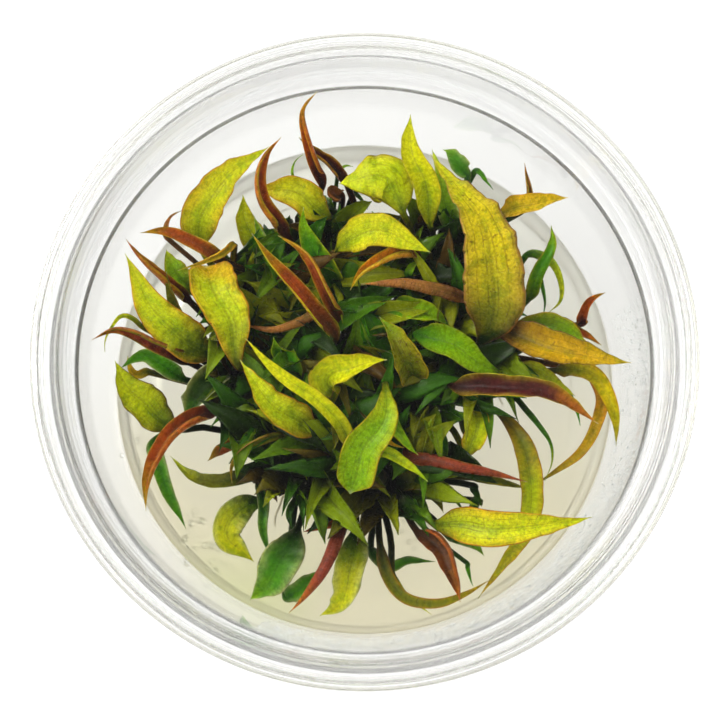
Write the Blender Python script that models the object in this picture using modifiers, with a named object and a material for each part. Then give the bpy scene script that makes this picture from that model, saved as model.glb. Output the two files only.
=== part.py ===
"""A tissue-culture cup of Cryptocoryne purpurea: a clear cup and lid, the culture gel, and nine plantlets.

Metres, +Z up. The origin is the middle of the cup's foot, on the surface that it stands on.
Lengths below are in millimetres, and MM turns them into metres where a mesh is made.
"""
import math

import bpy
import numpy as np
from mathutils import Vector
from mathutils.kdtree import KDTree

MM = 0.001
MERGE = 0.00001

# The cup: inside radius of the wall at three heights, and the sheet that it is moulded from
CUP_SHEET = 0.9
FOOT_INNER, FOOT_OUTER, FOOT_SLOPE = 43.0, 46.2, 1.0
FLOOR_TOP = 2.2
WALL_FOOT = (47.0, 1.8)
LEDGE_LOW = (52.2, 38.3)
LEDGE_HIGH = (53.2, 38.7)
WALL_TOP = (55.2, 46.4)
FLANGE_TOP, FLANGE_RADIUS, LIP_BOTTOM = 46.9, 58.0, 43.4
FLANGE_ROUND = 0.5

# The lid
LID_SHEET = 0.7
PANEL_TOP, PANEL_RADIUS = 44.9, 53.0
PLUG_TOP = (54.1, 47.6)
LID_LEDGE_TOP, LID_LEDGE_RADIUS = 47.9, 56.7
BEAD_TOP, BEAD_INNER, BEAD_OUTER = 50.0, 57.3, 58.5
LID_RADIUS, LID_SHOULDER = 59.0, 49.4
LID_ROUND = 0.5
SKIRT_TOP, SKIRT_BOTTOM, SKIRT_RADIUS = 45.9, 41.5, 59.5
TURNED_STEPS = 44

# The gel and the crowns that stand in it
GEL_TOP, GEL_BOTTOM = 14.0, 2.5
GEL_TOP_RADIUS, GEL_BOTTOM_RADIUS, GEL_ROUND = 48.4, 46.9, 0.7
GAP = 0.3
CROWN_BOTTOM, CROWN_TOP = 8.0, 17.0
CROWN_FOOT_RADIUS, CROWN_RADIUS, CROWN_NECK = 1.0, 2.1, 1.3
CROWN_SHOULDER, CROWN_WAIST = 0.6, 2.0
CROWN_SIDES = 8

# The leaves
LEAF_SHEET = 0.45
STALK_WIDTH = 1.3
TIP_WIDTH = 0.5
STALK_CIRCLE = CROWN_RADIUS + 0.9
STALK_BOTTOM = GEL_TOP + 0.9
STALK_STEPS, BLADE_STEPS = 3, 5
# How strongly the way across a blade is pulled level, against carrying on from the step before
LEVELLING = 3.0
# A stalk rises before it leans out: the share of the way to its blade that it has gone at its middle
STALK_LEAN, STALK_RISE = 0.35, 0.62

# Room that the leaves keep from one another, from the wall and from the crowns
CLEAR, WALL_ROOM, CROWN_ROOM = 0.95, 0.8, 0.75
LOWEST, HIGHEST = GEL_TOP + 0.8, PANEL_TOP - LID_SHEET - 0.7
# How they give way: samples closer than REACH side by side are in each other's way, pairs are looked for
# within LOOK every RESORT turns, and each turn takes EASE of a push that is no longer than LONGEST_PUSH
REACH, LOOK, LONGEST_PUSH = 1.5, 2.6, 1.5
ROUNDS, RESORT = 160, 8
EASE = 0.6
FEWEST_SAMPLES = 0.35

# The photograph looks down through the lid. A place on a leaf is given as (x, y, height): x and y are
# pixels of the 728-pixel photograph, and the height is in millimetres above the foot.
PHOTO_SIDE = 728
PHOTO_FOCUS = 1705.0
EYE = np.array([-0.1, -57.2, 344.0])
AIM = np.array([-0.1, -2.5, 49.5])

# Where each plantlet stands, as pixels at the gel's surface
CROWNS = {
    "plant_1": (330, 255),
    "plant_2": (440, 262),
    "plant_3": (250, 315),
    "plant_4": (250, 395),
    "plant_5": (325, 345),
    "plant_6": (415, 395),
    "plant_7": (470, 355),
    "plant_8": (378, 480),
    "plant_9": (300, 468),
}

# Where along the blade each shape reaches its full width, and where it starts to taper
SHAPES = {
    "strap": (0.12, 0.55),
    "lance": (0.35, 0.45),
    "broad": (0.42, 0.50),
    "drawn": (0.28, 0.36),
    "fan": (0.70, 0.80),
}

# Each leaf: (plantlet, shape, widest part in mm, fold in degrees, colour,
# route of the blade from its stalk to its tip)
LEAVES = [
    ("plant_1", "strap", 2.2, 25, "maroon", [(320, 195, 31), (310, 155, 36), (303, 115, 39), (317, 92, 40)]),
    ("plant_1", "strap", 2.2, 30, "maroon", [(346, 184, 29), (330, 165, 31), (310, 150, 31), (299, 138, 30)]),
    ("plant_1", "strap", 2.8, 30, "rust", [(288, 236, 32), (264, 200, 37), (262, 165, 39), (281, 138, 39)]),
    ("plant_1", "lance", 6.5, 10, "lime", [(330, 214, 28), (308, 196, 31), (285, 188, 31), (258, 190, 29)]),
    ("plant_1", "lance", 6.8, 10, "yellow", [(338, 250, 32), (365, 234, 36), (400, 238, 38), (431, 253, 38)]),
    ("plant_2", "broad", 9.4, 10, "yellow", [(408, 212, 34), (395, 180, 38), (368, 178, 38), (339, 184, 35)]),
    ("plant_2", "lance", 5.0, 10, "yellow", [(428, 226, 32), (421, 185, 37), (411, 150, 39), (410, 115, 38)]),
    ("plant_2", "lance", 4.2, 10, "green", [(453, 240, 26), (447, 210, 30), (440, 180, 32), (432, 150, 32)]),
    ("plant_2", "lance", 4.2, 10, "amber", [(500, 216, 29), (520, 207, 32), (544, 202, 33), (568, 198, 33)]),
    ("plant_2", "strap", 2.8, 30, "amber", [(418, 253, 33), (390, 255, 36), (363, 268, 37), (350, 290, 36)]),
    ("plant_2", "strap", 2.6, 20, "tan", [(468, 299, 32), (440, 288, 35), (400, 282, 37), (361, 285, 37)]),
    ("plant_3", "drawn", 7.6, 10, "yellow", [(202, 250, 28), (201, 215, 33), (222, 183, 35), (269, 147, 36)]),
    ("plant_3", "strap", 2.8, 20, "rust", [(222, 262, 30), (198, 245, 33), (170, 232, 34), (141, 233, 33)]),
    ("plant_3", "strap", 2.4, 25, "rust", [(190, 300, 26), (164, 280, 31), (138, 258, 34), (117, 235, 34)]),
    ("plant_4", "drawn", 7.8, 10, "yellow", [(216, 356, 27), (178, 338, 32), (149, 303, 35), (125, 254, 37)]),
    ("plant_4", "strap", 2.7, 20, "red", [(190, 362, 28), (158, 346, 34), (120, 330, 37), (92, 340, 37)]),
    ("plant_4", "broad", 7.5, 10, "lime", [(178, 430, 23), (152, 412, 26), (130, 390, 29), (115, 361, 31)]),
    ("plant_4", "strap", 3.2, 20, "red", [(216, 410, 30), (175, 430, 34), (150, 468, 34), (146, 511, 31)]),
    ("plant_4", "strap", 3.0, 10, "green", [(155, 440, 21), (160, 470, 21), (172, 500, 19), (186, 529, 17)]),
    ("plant_4", "fan", 9.4, 10, "lime", [(239, 370, 32), (230, 328, 36), (215, 292, 37), (205, 266, 33)]),
    ("plant_4", "lance", 5.0, 10, "green", [(270, 322, 22), (272, 285, 27), (264, 250, 29), (254, 216, 30)]),
    ("plant_5", "strap", 3.0, 25, "amber", [(337, 337, 32), (306, 298, 38), (280, 268, 40), (252, 234, 40)]),
    ("plant_5", "strap", 2.4, 25, "amber", [(340, 322, 30), (325, 297, 34), (306, 258, 37), (278, 236, 37)]),
    ("plant_5", "lance", 4.8, 15, "green", [(338, 297, 26), (322, 265, 31), (305, 238, 32), (303, 209, 32)]),
    ("plant_5", "lance", 4.0, 10, "green", [(386, 312, 31), (405, 310, 32), (427, 315, 32), (448, 325, 30)]),
    ("plant_6", "lance", 5.6, 10, "olive", [(411, 388, 29), (406, 366, 34), (395, 342, 37), (379, 317, 37)]),
    ("plant_6", "fan", 7.8, 15, "lime", [(388, 388, 36), (384, 418, 39), (364, 452, 38), (350, 494, 34)]),
    ("plant_6", "strap", 4.0, 15, "rust", [(452, 388, 30), (500, 388, 34), (548, 395, 36), (598, 424, 34)]),
    ("plant_6", "lance", 5.4, 10, "green", [(414, 336, 31), (445, 342, 35), (474, 358, 35), (508, 376, 32)]),
    ("plant_6", "strap", 2.6, 20, "red", [(405, 454, 30), (440, 462, 33), (480, 470, 33), (527, 482, 30)]),
    ("plant_6", "lance", 4.6, 10, "amber", [(497, 411, 25), (527, 455, 27), (526, 525, 23), (478, 599, 18)]),
    ("plant_7", "drawn", 11.6, 10, "amber", [(484, 342, 31), (499, 298, 38), (484, 232, 41), (430, 158, 38)]),
    ("plant_7", "lance", 6.2, 15, "rust", [(490, 332, 31), (540, 345, 35), (590, 359, 37), (631, 363, 37)]),
    ("plant_7", "lance", 4.8, 10, "green", [(514, 326, 27), (548, 325, 30), (578, 342, 30), (597, 368, 27)]),
    ("plant_7", "strap", 3.3, 15, "amber", [(556, 371, 26), (592, 375, 30), (614, 408, 32), (616, 446, 31)]),
    ("plant_7", "strap", 2.4, 10, "rust", [(586, 372, 23), (602, 402, 24), (582, 450, 21), (532, 487, 18)]),
    ("plant_8", "strap", 2.6, 15, "red", [(347, 510, 28), (332, 550, 32), (315, 585, 32), (289, 613, 28)]),
    ("plant_8", "lance", 5.8, 10, "yellow", [(356, 528, 21), (352, 565, 24), (343, 600, 22), (320, 616, 18)]),
    ("plant_8", "strap", 2.4, 10, "olive", [(380, 545, 20), (396, 592, 20), (440, 604, 20), (491, 579, 19)]),
    ("plant_8", "lance", 3.6, 20, "maroon", [(417, 530, 27), (437, 546, 31), (450, 574, 32), (460, 602, 29)]),
    ("plant_8", "drawn", 6.9, 10, "yellow", [(437, 521, 28), (484, 528, 33), (535, 527, 35), (592, 517, 35)]),
    ("plant_8", "lance", 4.2, 10, "olive", [(393, 486, 23), (407, 488, 25), (424, 500, 26), (438, 517, 25)]),
    ("plant_8", "strap", 3.0, 25, "yellow", [(352, 447, 34), (332, 412, 39), (285, 378, 41), (246, 339, 40)]),
    ("plant_9", "strap", 3.0, 10, "olive", [(262, 470, 22), (225, 482, 24), (190, 475, 22), (170, 456, 20)]),
    ("plant_9", "broad", 7.0, 10, "yellow", [(264, 500, 20), (236, 512, 22), (228, 535, 21), (254, 562, 18)]),
    ("plant_9", "broad", 7.6, 10, "green", [(298, 528, 21), (286, 555, 23), (270, 580, 21), (250, 600, 18)]),
    ("plant_9", "drawn", 6.4, 10, "lime", [(318, 434, 31), (286, 414, 36), (259, 390, 38), (240, 360, 37)]),
    ("plant_9", "lance", 5.8, 15, "yellow", [(334, 398, 30), (328, 378, 34), (352, 367, 37), (387, 360, 38)]),
]

# Base colour, roughness and metallic value of each material
CLEAR_PLASTIC = (0.90, 0.91, 0.90)
GEL_COLOUR = (0.80, 0.77, 0.68)
CROWN_COLOUR = (0.10, 0.12, 0.04)
LEAF_COLOURS = {
    "yellow": (0.52, 0.56, 0.03),
    "lime": (0.34, 0.42, 0.03),
    "green": (0.08, 0.26, 0.02),
    "olive": (0.20, 0.22, 0.03),
    "amber": (0.50, 0.32, 0.04),
    "tan": (0.36, 0.19, 0.06),
    "rust": (0.30, 0.09, 0.03),
    "red": (0.33, 0.06, 0.04),
    "maroon": (0.10, 0.03, 0.03),
}


def clear_scene():
    for thing in list(bpy.data.objects):
        bpy.data.objects.remove(thing, do_unlink=True)


def collection(name):
    made = bpy.data.collections.new(name)
    bpy.context.scene.collection.children.link(made)
    return made


def material(name, colour, roughness, alpha=1.0):
    made = bpy.data.materials.new(name)
    made.use_nodes = True
    shader = made.node_tree.nodes["Principled BSDF"]
    shader.inputs["Base Color"].default_value = (*colour, 1.0)
    shader.inputs["Roughness"].default_value = roughness
    shader.inputs["Metallic"].default_value = 0.0
    shader.inputs["Alpha"].default_value = alpha
    return made


def mesh_object(name, points, edges, faces, finish, group):
    mesh = bpy.data.meshes.new(name)
    mesh.from_pydata([Vector(p) * MM for p in points], edges, faces)
    mesh.update()
    made = bpy.data.objects.new(name, mesh)
    made.data.materials.append(finish)
    group.objects.link(made)
    return made


def turned(name, profile, finish, group, steps=TURNED_STEPS):
    """A profile of (radius, height) points turned about the cup's axis."""
    points = [(radius, 0.0, height) for radius, height in profile]
    edges = [(i, i + 1) for i in range(len(points) - 1)]
    made = mesh_object(name, points, edges, [], finish, group)
    screw = made.modifiers.new("Turn", "SCREW")
    screw.steps = steps
    screw.render_steps = steps
    screw.use_merge_vertices = True
    screw.merge_threshold = MERGE
    screw.use_smooth_shade = True
    return made


def add_sheet(thing, thickness):
    sheet = thing.modifiers.new("Sheet", "SOLIDIFY")
    sheet.thickness = thickness * MM
    sheet.offset = -1.0
    sheet.use_even_offset = True


def make_cup(group):
    """The inside of the cup from the middle of its floor to the edge of its lip, with the sheet behind it."""
    profile = [
        (0.0, FLOOR_TOP),
        (FOOT_INNER - FOOT_SLOPE, FLOOR_TOP),
        (FOOT_INNER, CUP_SHEET),
        (FOOT_OUTER, CUP_SHEET),
        WALL_FOOT,
        LEDGE_LOW,
        LEDGE_HIGH,
        WALL_TOP,
        (WALL_TOP[0] + FLANGE_ROUND, FLANGE_TOP),
        (FLANGE_RADIUS, FLANGE_TOP),
        (FLANGE_RADIUS, LIP_BOTTOM),
    ]
    cup = turned("cup", profile, material("cup plastic", CLEAR_PLASTIC, 0.08, 0.25), group)
    add_sheet(cup, CUP_SHEET)


def make_lid(group):
    """The top of the lid from the middle of its panel to the bottom of its skirt."""
    profile = [
        (0.0, PANEL_TOP),
        (PANEL_RADIUS, PANEL_TOP),
        (PANEL_RADIUS + LID_ROUND, PANEL_TOP + LID_ROUND),
        PLUG_TOP,
        (PLUG_TOP[0] + LID_LEDGE_TOP - PLUG_TOP[1], LID_LEDGE_TOP),
        (LID_LEDGE_RADIUS, LID_LEDGE_TOP),
        (BEAD_INNER, BEAD_TOP - LID_ROUND),
        (BEAD_INNER + LID_ROUND, BEAD_TOP),
        (BEAD_OUTER, BEAD_TOP),
        (LID_RADIUS, LID_SHOULDER),
        (LID_RADIUS, SKIRT_TOP),
        (SKIRT_RADIUS, SKIRT_BOTTOM),
    ]
    lid = turned("lid", profile, material("lid plastic", CLEAR_PLASTIC, 0.08, 0.25), group)
    add_sheet(lid, LID_SHEET)


def make_gel(group, cutters, places):
    """The gel's outside turned, less a pocket for each crown."""
    profile = [
        (0.0, GEL_TOP),
        (GEL_TOP_RADIUS, GEL_TOP),
        (GEL_BOTTOM_RADIUS, GEL_BOTTOM + GEL_ROUND),
        (GEL_BOTTOM_RADIUS - GEL_ROUND, GEL_BOTTOM),
        (0.0, GEL_BOTTOM),
    ]
    gel = turned("gel", profile, material("culture gel", GEL_COLOUR, 0.25, 0.6), group)
    for name, place in places.items():
        pocket = crown_body(name + "_pocket", place, GAP, CROWN_TOP + 1.0, gel.data.materials[0], cutters)
        pocket.hide_render = True
        pocket.display_type = "WIRE"
        cut = gel.modifiers.new(name, "BOOLEAN")
        cut.operation = "DIFFERENCE"
        cut.object = pocket


def crown_body(name, place, grow, top, finish, group):
    """A short spindle, widest where it leaves the gel, made larger all over by grow."""
    bottom = CROWN_BOTTOM - grow
    neck = CROWN_RADIUS if grow else CROWN_NECK
    profile = [
        (0.0, top),
        (neck + grow, top),
        (CROWN_RADIUS + grow, GEL_TOP + CROWN_SHOULDER),
        (CROWN_RADIUS + grow, GEL_TOP - CROWN_WAIST),
        (CROWN_FOOT_RADIUS + grow, bottom),
        (0.0, bottom),
    ]
    made = turned(name, profile, finish, group, CROWN_SIDES)
    made.location = Vector((place[0], place[1], 0.0)) * MM
    return made


def unit(vector):
    return vector / max(np.linalg.norm(vector), 1e-9)


def from_photo(x, y, height):
    """The place at this height, in millimetres, that the photograph shows at pixel (x, y)."""
    ahead = unit(AIM - EYE)
    right = np.array([1.0, 0.0, 0.0])
    above = np.cross(right, ahead)
    middle = PHOTO_SIDE / 2
    ray = ahead * PHOTO_FOCUS + right * (x - middle) - above * (y - middle)
    return EYE + ray * (height - EYE[2]) / ray[2]


def wall_radius(height):
    """The inside radius of the cup's wall at a height."""
    radii, heights = zip(WALL_FOOT, LEDGE_LOW, LEDGE_HIGH, WALL_TOP)
    return np.interp(height, heights, radii)


def smooth_curve(points, count):
    """count places spread evenly along a Catmull-Rom curve through the points."""
    points = np.array([2 * points[0] - points[1], *points, 2 * points[-1] - points[-2]])
    dense = []
    for i in range(1, len(points) - 2):
        before, start, end, after = points[i - 1 : i + 3]
        for t in np.linspace(0.0, 1.0, 12, endpoint=False):
            dense.append(
                0.5
                * (
                    2 * start
                    + (end - before) * t
                    + (2 * before - 5 * start + 4 * end - after) * t**2
                    + (3 * start - before - 3 * end + after) * t**3
                )
            )
    dense = np.array([*dense, points[-2]])
    steps = np.linalg.norm(np.diff(dense, axis=0), axis=1)
    along = np.concatenate([[0.0], np.cumsum(steps)])
    wanted = np.linspace(0.0, along[-1], count)
    return np.stack([np.interp(wanted, along, dense[:, k]) for k in range(3)], 1)


def blade_width(shape, share):
    """Width at a share of the blade's length, as a share of its widest."""
    full, taper = SHAPES[shape]
    up = np.clip(share / full, 0.0, 1.0)
    down = np.clip((1.0 - share) / (1.0 - taper), 0.0, 1.0)
    return np.sin(up * math.pi / 2) * np.sin(down * math.pi / 2) ** 0.9


class Leaf:
    """A leaf's centre line, from the crown up its stalk and along its blade, with a width at each step."""

    def __init__(self, name, crown, start_angle, spec):
        _, self.shape, self.width, self.fold, self.colour, route = spec
        self.name = name
        blade = [from_photo(*place) for place in route]
        foot = np.array([crown[0], crown[1], STALK_BOTTOM])
        foot[:2] += STALK_CIRCLE * np.array([math.cos(start_angle), math.sin(start_angle)])
        bend = foot + (blade[0] - foot) * np.array([STALK_LEAN, STALK_LEAN, STALK_RISE])
        stalk = smooth_curve([foot, bend, blade[0]], STALK_STEPS + 1)
        blade = smooth_curve(blade, BLADE_STEPS + 1)
        self.line = np.concatenate([stalk, blade[1:]])
        share = np.linspace(0.0, 1.0, BLADE_STEPS + 1)
        widths = STALK_WIDTH + (self.width - STALK_WIDTH) * blade_width(self.shape, share)
        widths[-1] = TIP_WIDTH
        self.widths = np.concatenate([np.full(STALK_STEPS, STALK_WIDTH), widths])
        self.on_blade = np.arange(len(self.line)) > STALK_STEPS

    def frames(self):
        """At each step, the way across the leaf and the way that its upper face looks.

        The way across is level where the leaf lies flat, and is carried on from the step before where the
        leaf climbs, so that it never flips over.
        """
        ahead = np.gradient(self.line, axis=0)
        ahead /= np.linalg.norm(ahead, axis=1)[:, None]
        level = np.stack([ahead[:, 1], -ahead[:, 0], np.zeros(len(ahead))], 1)
        across = level.copy()
        middle = STALK_STEPS + 2
        across[middle] = unit(level[middle])
        onward = [(step, step - 1) for step in range(middle + 1, len(ahead))]
        back = [(step, step + 1) for step in range(middle - 1, -1, -1)]
        for step, last in onward + back:
            carried = across[last] - ahead[step] * (across[last] @ ahead[step])
            side = 1.0 if level[step] @ carried > 0 else -1.0
            across[step] = unit(LEVELLING * side * level[step] + carried)
        return across, np.cross(across, ahead)

    def rows(self):
        """Left edge, midrib and right edge at each step."""
        across, face = self.frames()
        half = self.widths[:, None] / 2
        fold = math.radians(self.fold)
        lift = face * half * math.sin(fold)
        side = across * half * math.cos(fold)
        return np.stack([self.line - side + lift, self.line, self.line + side + lift], 1)


def stalk_angles(ways):
    """Evenly spread angles round a crown, in the order in which the leaves lean, from the widest gap on."""
    order = np.argsort(ways)
    gaps = np.diff(np.append(ways[order], ways[order[0]] + 2 * math.pi))
    order = np.roll(order, -1 - int(gaps.argmax()))
    leaning = ways[order]
    leaning = np.where(leaning < leaning[0], leaning + 2 * math.pi, leaning)
    even = 2 * math.pi * np.arange(len(ways)) / len(ways)
    angles = np.empty(len(ways))
    angles[order] = even + (leaning - even).mean()
    return angles


def grow_leaves(places):
    """Every leaf at its place in the photograph, its stalk on the side of the crown that it leans to."""
    leaves = []
    for plant, place in places.items():
        own = [spec for spec in LEAVES if spec[0] == plant]
        starts = np.array([from_photo(*spec[-1][0]) - place for spec in own])
        angles = stalk_angles(np.arctan2(starts[:, 1], starts[:, 0]))
        for i, (spec, angle) in enumerate(zip(own, angles)):
            leaves.append(Leaf(f"{plant}_leaf_{i + 1}", place, angle, spec))
    return leaves


def sample_weights(steps):
    """Rows that turn a leaf's steps and its three rows of points into evenly spread samples."""
    along = np.linspace(0.0, steps - 1, 4 * (steps - 1) + 1)
    low = np.minimum(along.astype(int), steps - 2)
    part = along - low
    rows = np.zeros((len(along), steps))
    rows[np.arange(len(along)), low] = 1.0 - part
    rows[np.arange(len(along)), low + 1] += part
    return rows


def across_weights():
    return np.array([[1, 0, 0], [0.5, 0.5, 0], [0, 1, 0], [0, 0.5, 0.5], [0, 0, 1.0]])


def make_room(leaves, places):
    """The leaves give way to one another, as leaves that grow in a crowd do.

    Samples over each leaf push those of its neighbours away: blades up or down, whichever of the two
    was above stays above, and stalks sideways. Each leaf passes a push on along its own length.
    """
    steps = len(leaves[0].line)
    along, over = sample_weights(steps), across_weights()
    count = len(along) * len(over)
    owner = np.repeat(np.arange(len(leaves)), count)
    blade_part = along @ leaves[0].on_blade.astype(float) > 0.5
    blade = np.tile(np.repeat(blade_part, len(over)), len(leaves))
    share = np.repeat(along, len(over), axis=0)
    above = rank_leaves(leaves, along, over)
    pairs = None
    for turn in range(ROUNDS):
        points, normals, centres = spread(leaves, along, over)
        if turn % RESORT == 0:
            pairs = near_pairs(points, owner)
        push = leaf_push(points, normals, centres, owner, blade, above, pairs)
        push += keep_inside(points, places)
        move_leaves(leaves, push, share, count)


def spread(leaves, along, over):
    points, normals, centres = [], [], []
    for leaf in leaves:
        rows = leaf.rows()
        _, face = leaf.frames()
        sheet = np.einsum("as,smk->amk", along, rows)
        points.append(np.einsum("cm,amk->ack", over, sheet).reshape(-1, 3))
        faces = along @ face
        faces /= np.linalg.norm(faces, axis=1)[:, None]
        faces *= np.where(faces[:, 2] < 0, -1.0, 1.0)[:, None]
        normals.append(np.repeat(faces, len(over), axis=0))
        centres.append(np.repeat(along @ leaf.line, len(over), axis=0))
    return np.concatenate(points), np.concatenate(normals), np.concatenate(centres)


def rank_leaves(leaves, along, over):
    """above[i, j] is 1 where leaf i lies over leaf j at the places where they cross, and -1 where under."""
    points, _, _ = spread(leaves, along, over)
    count = len(points) // len(leaves)
    above = np.zeros((len(leaves), len(leaves)))
    for i in range(len(leaves)):
        mine = points[i * count : (i + 1) * count]
        for j in range(i):
            other = points[j * count : (j + 1) * count]
            flat = mine[:, None, :2] - other[None, :, :2]
            close = (flat**2).sum(2) < REACH**2
            if close.any():
                rise = (mine[:, None, 2] - other[None, :, 2])[close].mean()
            else:
                rise = mine[:, 2].mean() - other[:, 2].mean()
            above[i, j] = 1.0 if rise >= 0 else -1.0
            above[j, i] = -above[i, j]
    return above


def near_pairs(points, owner):
    tree = KDTree(len(points))
    for index, point in enumerate(points):
        tree.insert(point, index)
    tree.balance()
    pairs = []
    for index, point in enumerate(points):
        for _, other, _ in tree.find_range(point, LOOK):
            if other > index and owner[other] != owner[index]:
                pairs.append((index, other))
    return np.array(pairs).reshape(-1, 2)


def leaf_push(points, normals, centres, owner, blade, above, pairs):
    """How far each sample has to go, averaged over the samples that it is too near to."""
    one, two = pairs[:, 0], pairs[:, 1]
    between = points[one] - points[two]
    both = blade[one] & blade[two]
    facing = normals[one] + normals[two]
    facing /= np.maximum(np.linalg.norm(facing, axis=1), 1e-9)[:, None]
    facing *= above[owner[one], owner[two]][:, None]
    sideways = (centres[one] - centres[two]) * np.array([1.0, 1.0, 0.0])
    sideways /= np.maximum(np.linalg.norm(sideways, axis=1), 1e-9)[:, None]
    way = np.where(both[:, None], facing, sideways)
    apart = (between * way).sum(1)
    beside = np.linalg.norm(between - apart[:, None] * way, axis=1)
    short = np.where((beside < REACH) & (apart < CLEAR), CLEAR - apart, 0.0)
    short = np.minimum(short, LONGEST_PUSH)
    push = np.zeros_like(points)
    hits = np.zeros(len(points))
    for index, sign in ((one, 0.5), (two, -0.5)):
        for k in range(3):
            push[:, k] += np.bincount(index, sign * short * way[:, k], len(points))
        hits += np.bincount(index, (short > 0).astype(float), len(points))
    return push / np.maximum(hits, 1.0)[:, None]


def keep_inside(points, places):
    """Pushes away from the gel, the panel, the wall and the crowns."""
    push = np.zeros_like(points)
    push[:, 2] += np.maximum(LOWEST - points[:, 2], 0.0) - np.maximum(points[:, 2] - HIGHEST, 0.0)
    radius = np.linalg.norm(points[:, :2], axis=1)
    over = np.maximum(radius - (wall_radius(points[:, 2]) - WALL_ROOM), 0.0)
    push[:, :2] -= points[:, :2] / np.maximum(radius, 1e-9)[:, None] * over[:, None]
    for place in places.values():
        away = points[:, :2] - np.array(place[:2])
        far = np.linalg.norm(away, axis=1)
        near = np.maximum(CROWN_RADIUS + CROWN_ROOM - far, 0.0)
        near[points[:, 2] > CROWN_TOP + CROWN_ROOM] = 0.0
        push[:, :2] += away / np.maximum(far, 1e-9)[:, None] * near[:, None]
    return push


def move_leaves(leaves, push, share, count):
    for i, leaf in enumerate(leaves):
        mine = slice(i * count, (i + 1) * count)
        pushed = np.linalg.norm(push[mine], axis=1) > 1e-6
        weight = share[pushed].sum(0)
        step = share.T @ push[mine] / np.maximum(weight, FEWEST_SAMPLES)[:, None]
        for _ in range(2):
            padded = np.concatenate([step[:1], step, step[-1:]])
            step = 0.25 * padded[:-2] + 0.5 * padded[1:-1] + 0.25 * padded[2:]
        step[0] = 0.0
        step[1] *= 0.5
        leaf.line = leaf.line + EASE * step


def make_leaf(leaf, finish, group):
    """The blade and its stalk: one strip three points wide, with the leaf's thickness under it."""
    rows = leaf.rows()
    points = [tuple(point) for row in rows for point in row]
    faces = []
    for step in range(len(rows) - 1):
        low = step * 3
        faces.append((low, low + 1, low + 4, low + 3))
        faces.append((low + 1, low + 2, low + 5, low + 4))
    made = mesh_object(leaf.name, points, [], faces, finish, group)
    sheet = made.modifiers.new("Thickness", "SOLIDIFY")
    sheet.thickness = LEAF_SHEET * MM
    sheet.offset = 0.0


def main():
    clear_scene()
    parts = collection("cryptocoryne_cup")
    cutters = collection("cutters")
    places = {name: from_photo(x, y, GEL_TOP) for name, (x, y) in CROWNS.items()}
    make_cup(parts)
    make_lid(parts)
    make_gel(parts, cutters, places)
    for name, place in places.items():
        finish = material(name + " crown", CROWN_COLOUR, 0.5)
        crown_body(name + "_crown", place, 0.0, CROWN_TOP, finish, parts)
    leaves = grow_leaves(places)
    make_room(leaves, places)
    for leaf in leaves:
        make_leaf(leaf, material(leaf.name, LEAF_COLOURS[leaf.colour], 0.4), parts)


main()
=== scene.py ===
"""The looks of the tissue-culture cup of Cryptocoryne purpurea: cup, lid, gel, plantlets and condensation.

Lengths below are in millimetres, in the model's own frame, and MM turns them into metres.
"""
import math

import bpy
import numpy as np
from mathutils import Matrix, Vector
from mathutils.kdtree import KDTree


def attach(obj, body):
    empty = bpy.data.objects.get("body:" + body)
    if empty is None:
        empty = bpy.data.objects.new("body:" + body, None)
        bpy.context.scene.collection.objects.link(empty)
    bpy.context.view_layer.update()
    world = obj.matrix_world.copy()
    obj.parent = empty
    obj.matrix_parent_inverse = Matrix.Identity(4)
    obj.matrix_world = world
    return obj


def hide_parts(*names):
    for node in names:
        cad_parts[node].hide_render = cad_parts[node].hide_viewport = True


MM = 0.001
MERGE = 0.00001
RANDOM = np.random.default_rng(11)

# The cup: its sheet, how round its corners are, and inside radius and height along the wall
CUP_SHEET, CUP_CORNER = 0.9, 0.5
FOOT_INNER, FOOT_OUTER, FOOT_SLOPE = 43.0, 46.2, 1.0
FLOOR_TOP = 2.2
WALL_FOOT = (47.0, 1.8)
LEDGE_LOW = (52.2, 38.3)
LEDGE_HIGH = (53.2, 38.7)
WALL_TOP = (55.2, 46.4)
FLANGE_TOP, FLANGE_RADIUS, LIP_BOTTOM = 46.9, 58.0, 43.4
FLANGE_ROUND = 0.5

# The lid
LID_SHEET, LID_CORNER = 0.7, 0.45
PANEL_TOP, PANEL_RADIUS = 44.9, 53.0
PLUG_TOP = (54.2, 47.9)
LID_LEDGE_RADIUS = 56.7
BEAD_TOP, BEAD_INNER, BEAD_OUTER = 50.0, 57.3, 58.5
LID_RADIUS, LID_SHOULDER = 59.0, 49.4
LID_ROUND = 0.5
SKIRT_TOP, SKIRT_BOTTOM, SKIRT_RADIUS = 45.9, 41.5, 59.5
FINE_STEPS = 256

# How far each clear thing bends light. The gel's value is well below a real gel's, which is near 1.33: it was
# chosen for the look, because the real value drew a dark crescent at the gel's side
PLASTIC_IOR, WATER_IOR, GEL_IOR = 1.49, 1.33, 1.07

# The plastic's tint and how fast it takes light away, per metre. A ring of each rim is frosted: how rough it
# is, how much rougher in its dots, how milky, the radii where it starts and ends, and how soft its edges are
PLASTIC_TINT, PLASTIC_DENSITY = (0.32, 0.32, 0.14), 54.0
RIM_FROST, RIM_DOTS, RIM_MILK = 0.14, 0.05, 0.06
CUP_FROSTED_FROM, LID_FROSTED_FROM = LEDGE_LOW[0] - 0.3, PANEL_RADIUS - 1.2
FROSTED_TO, FROST_EDGE = 57.0, 0.4

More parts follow.
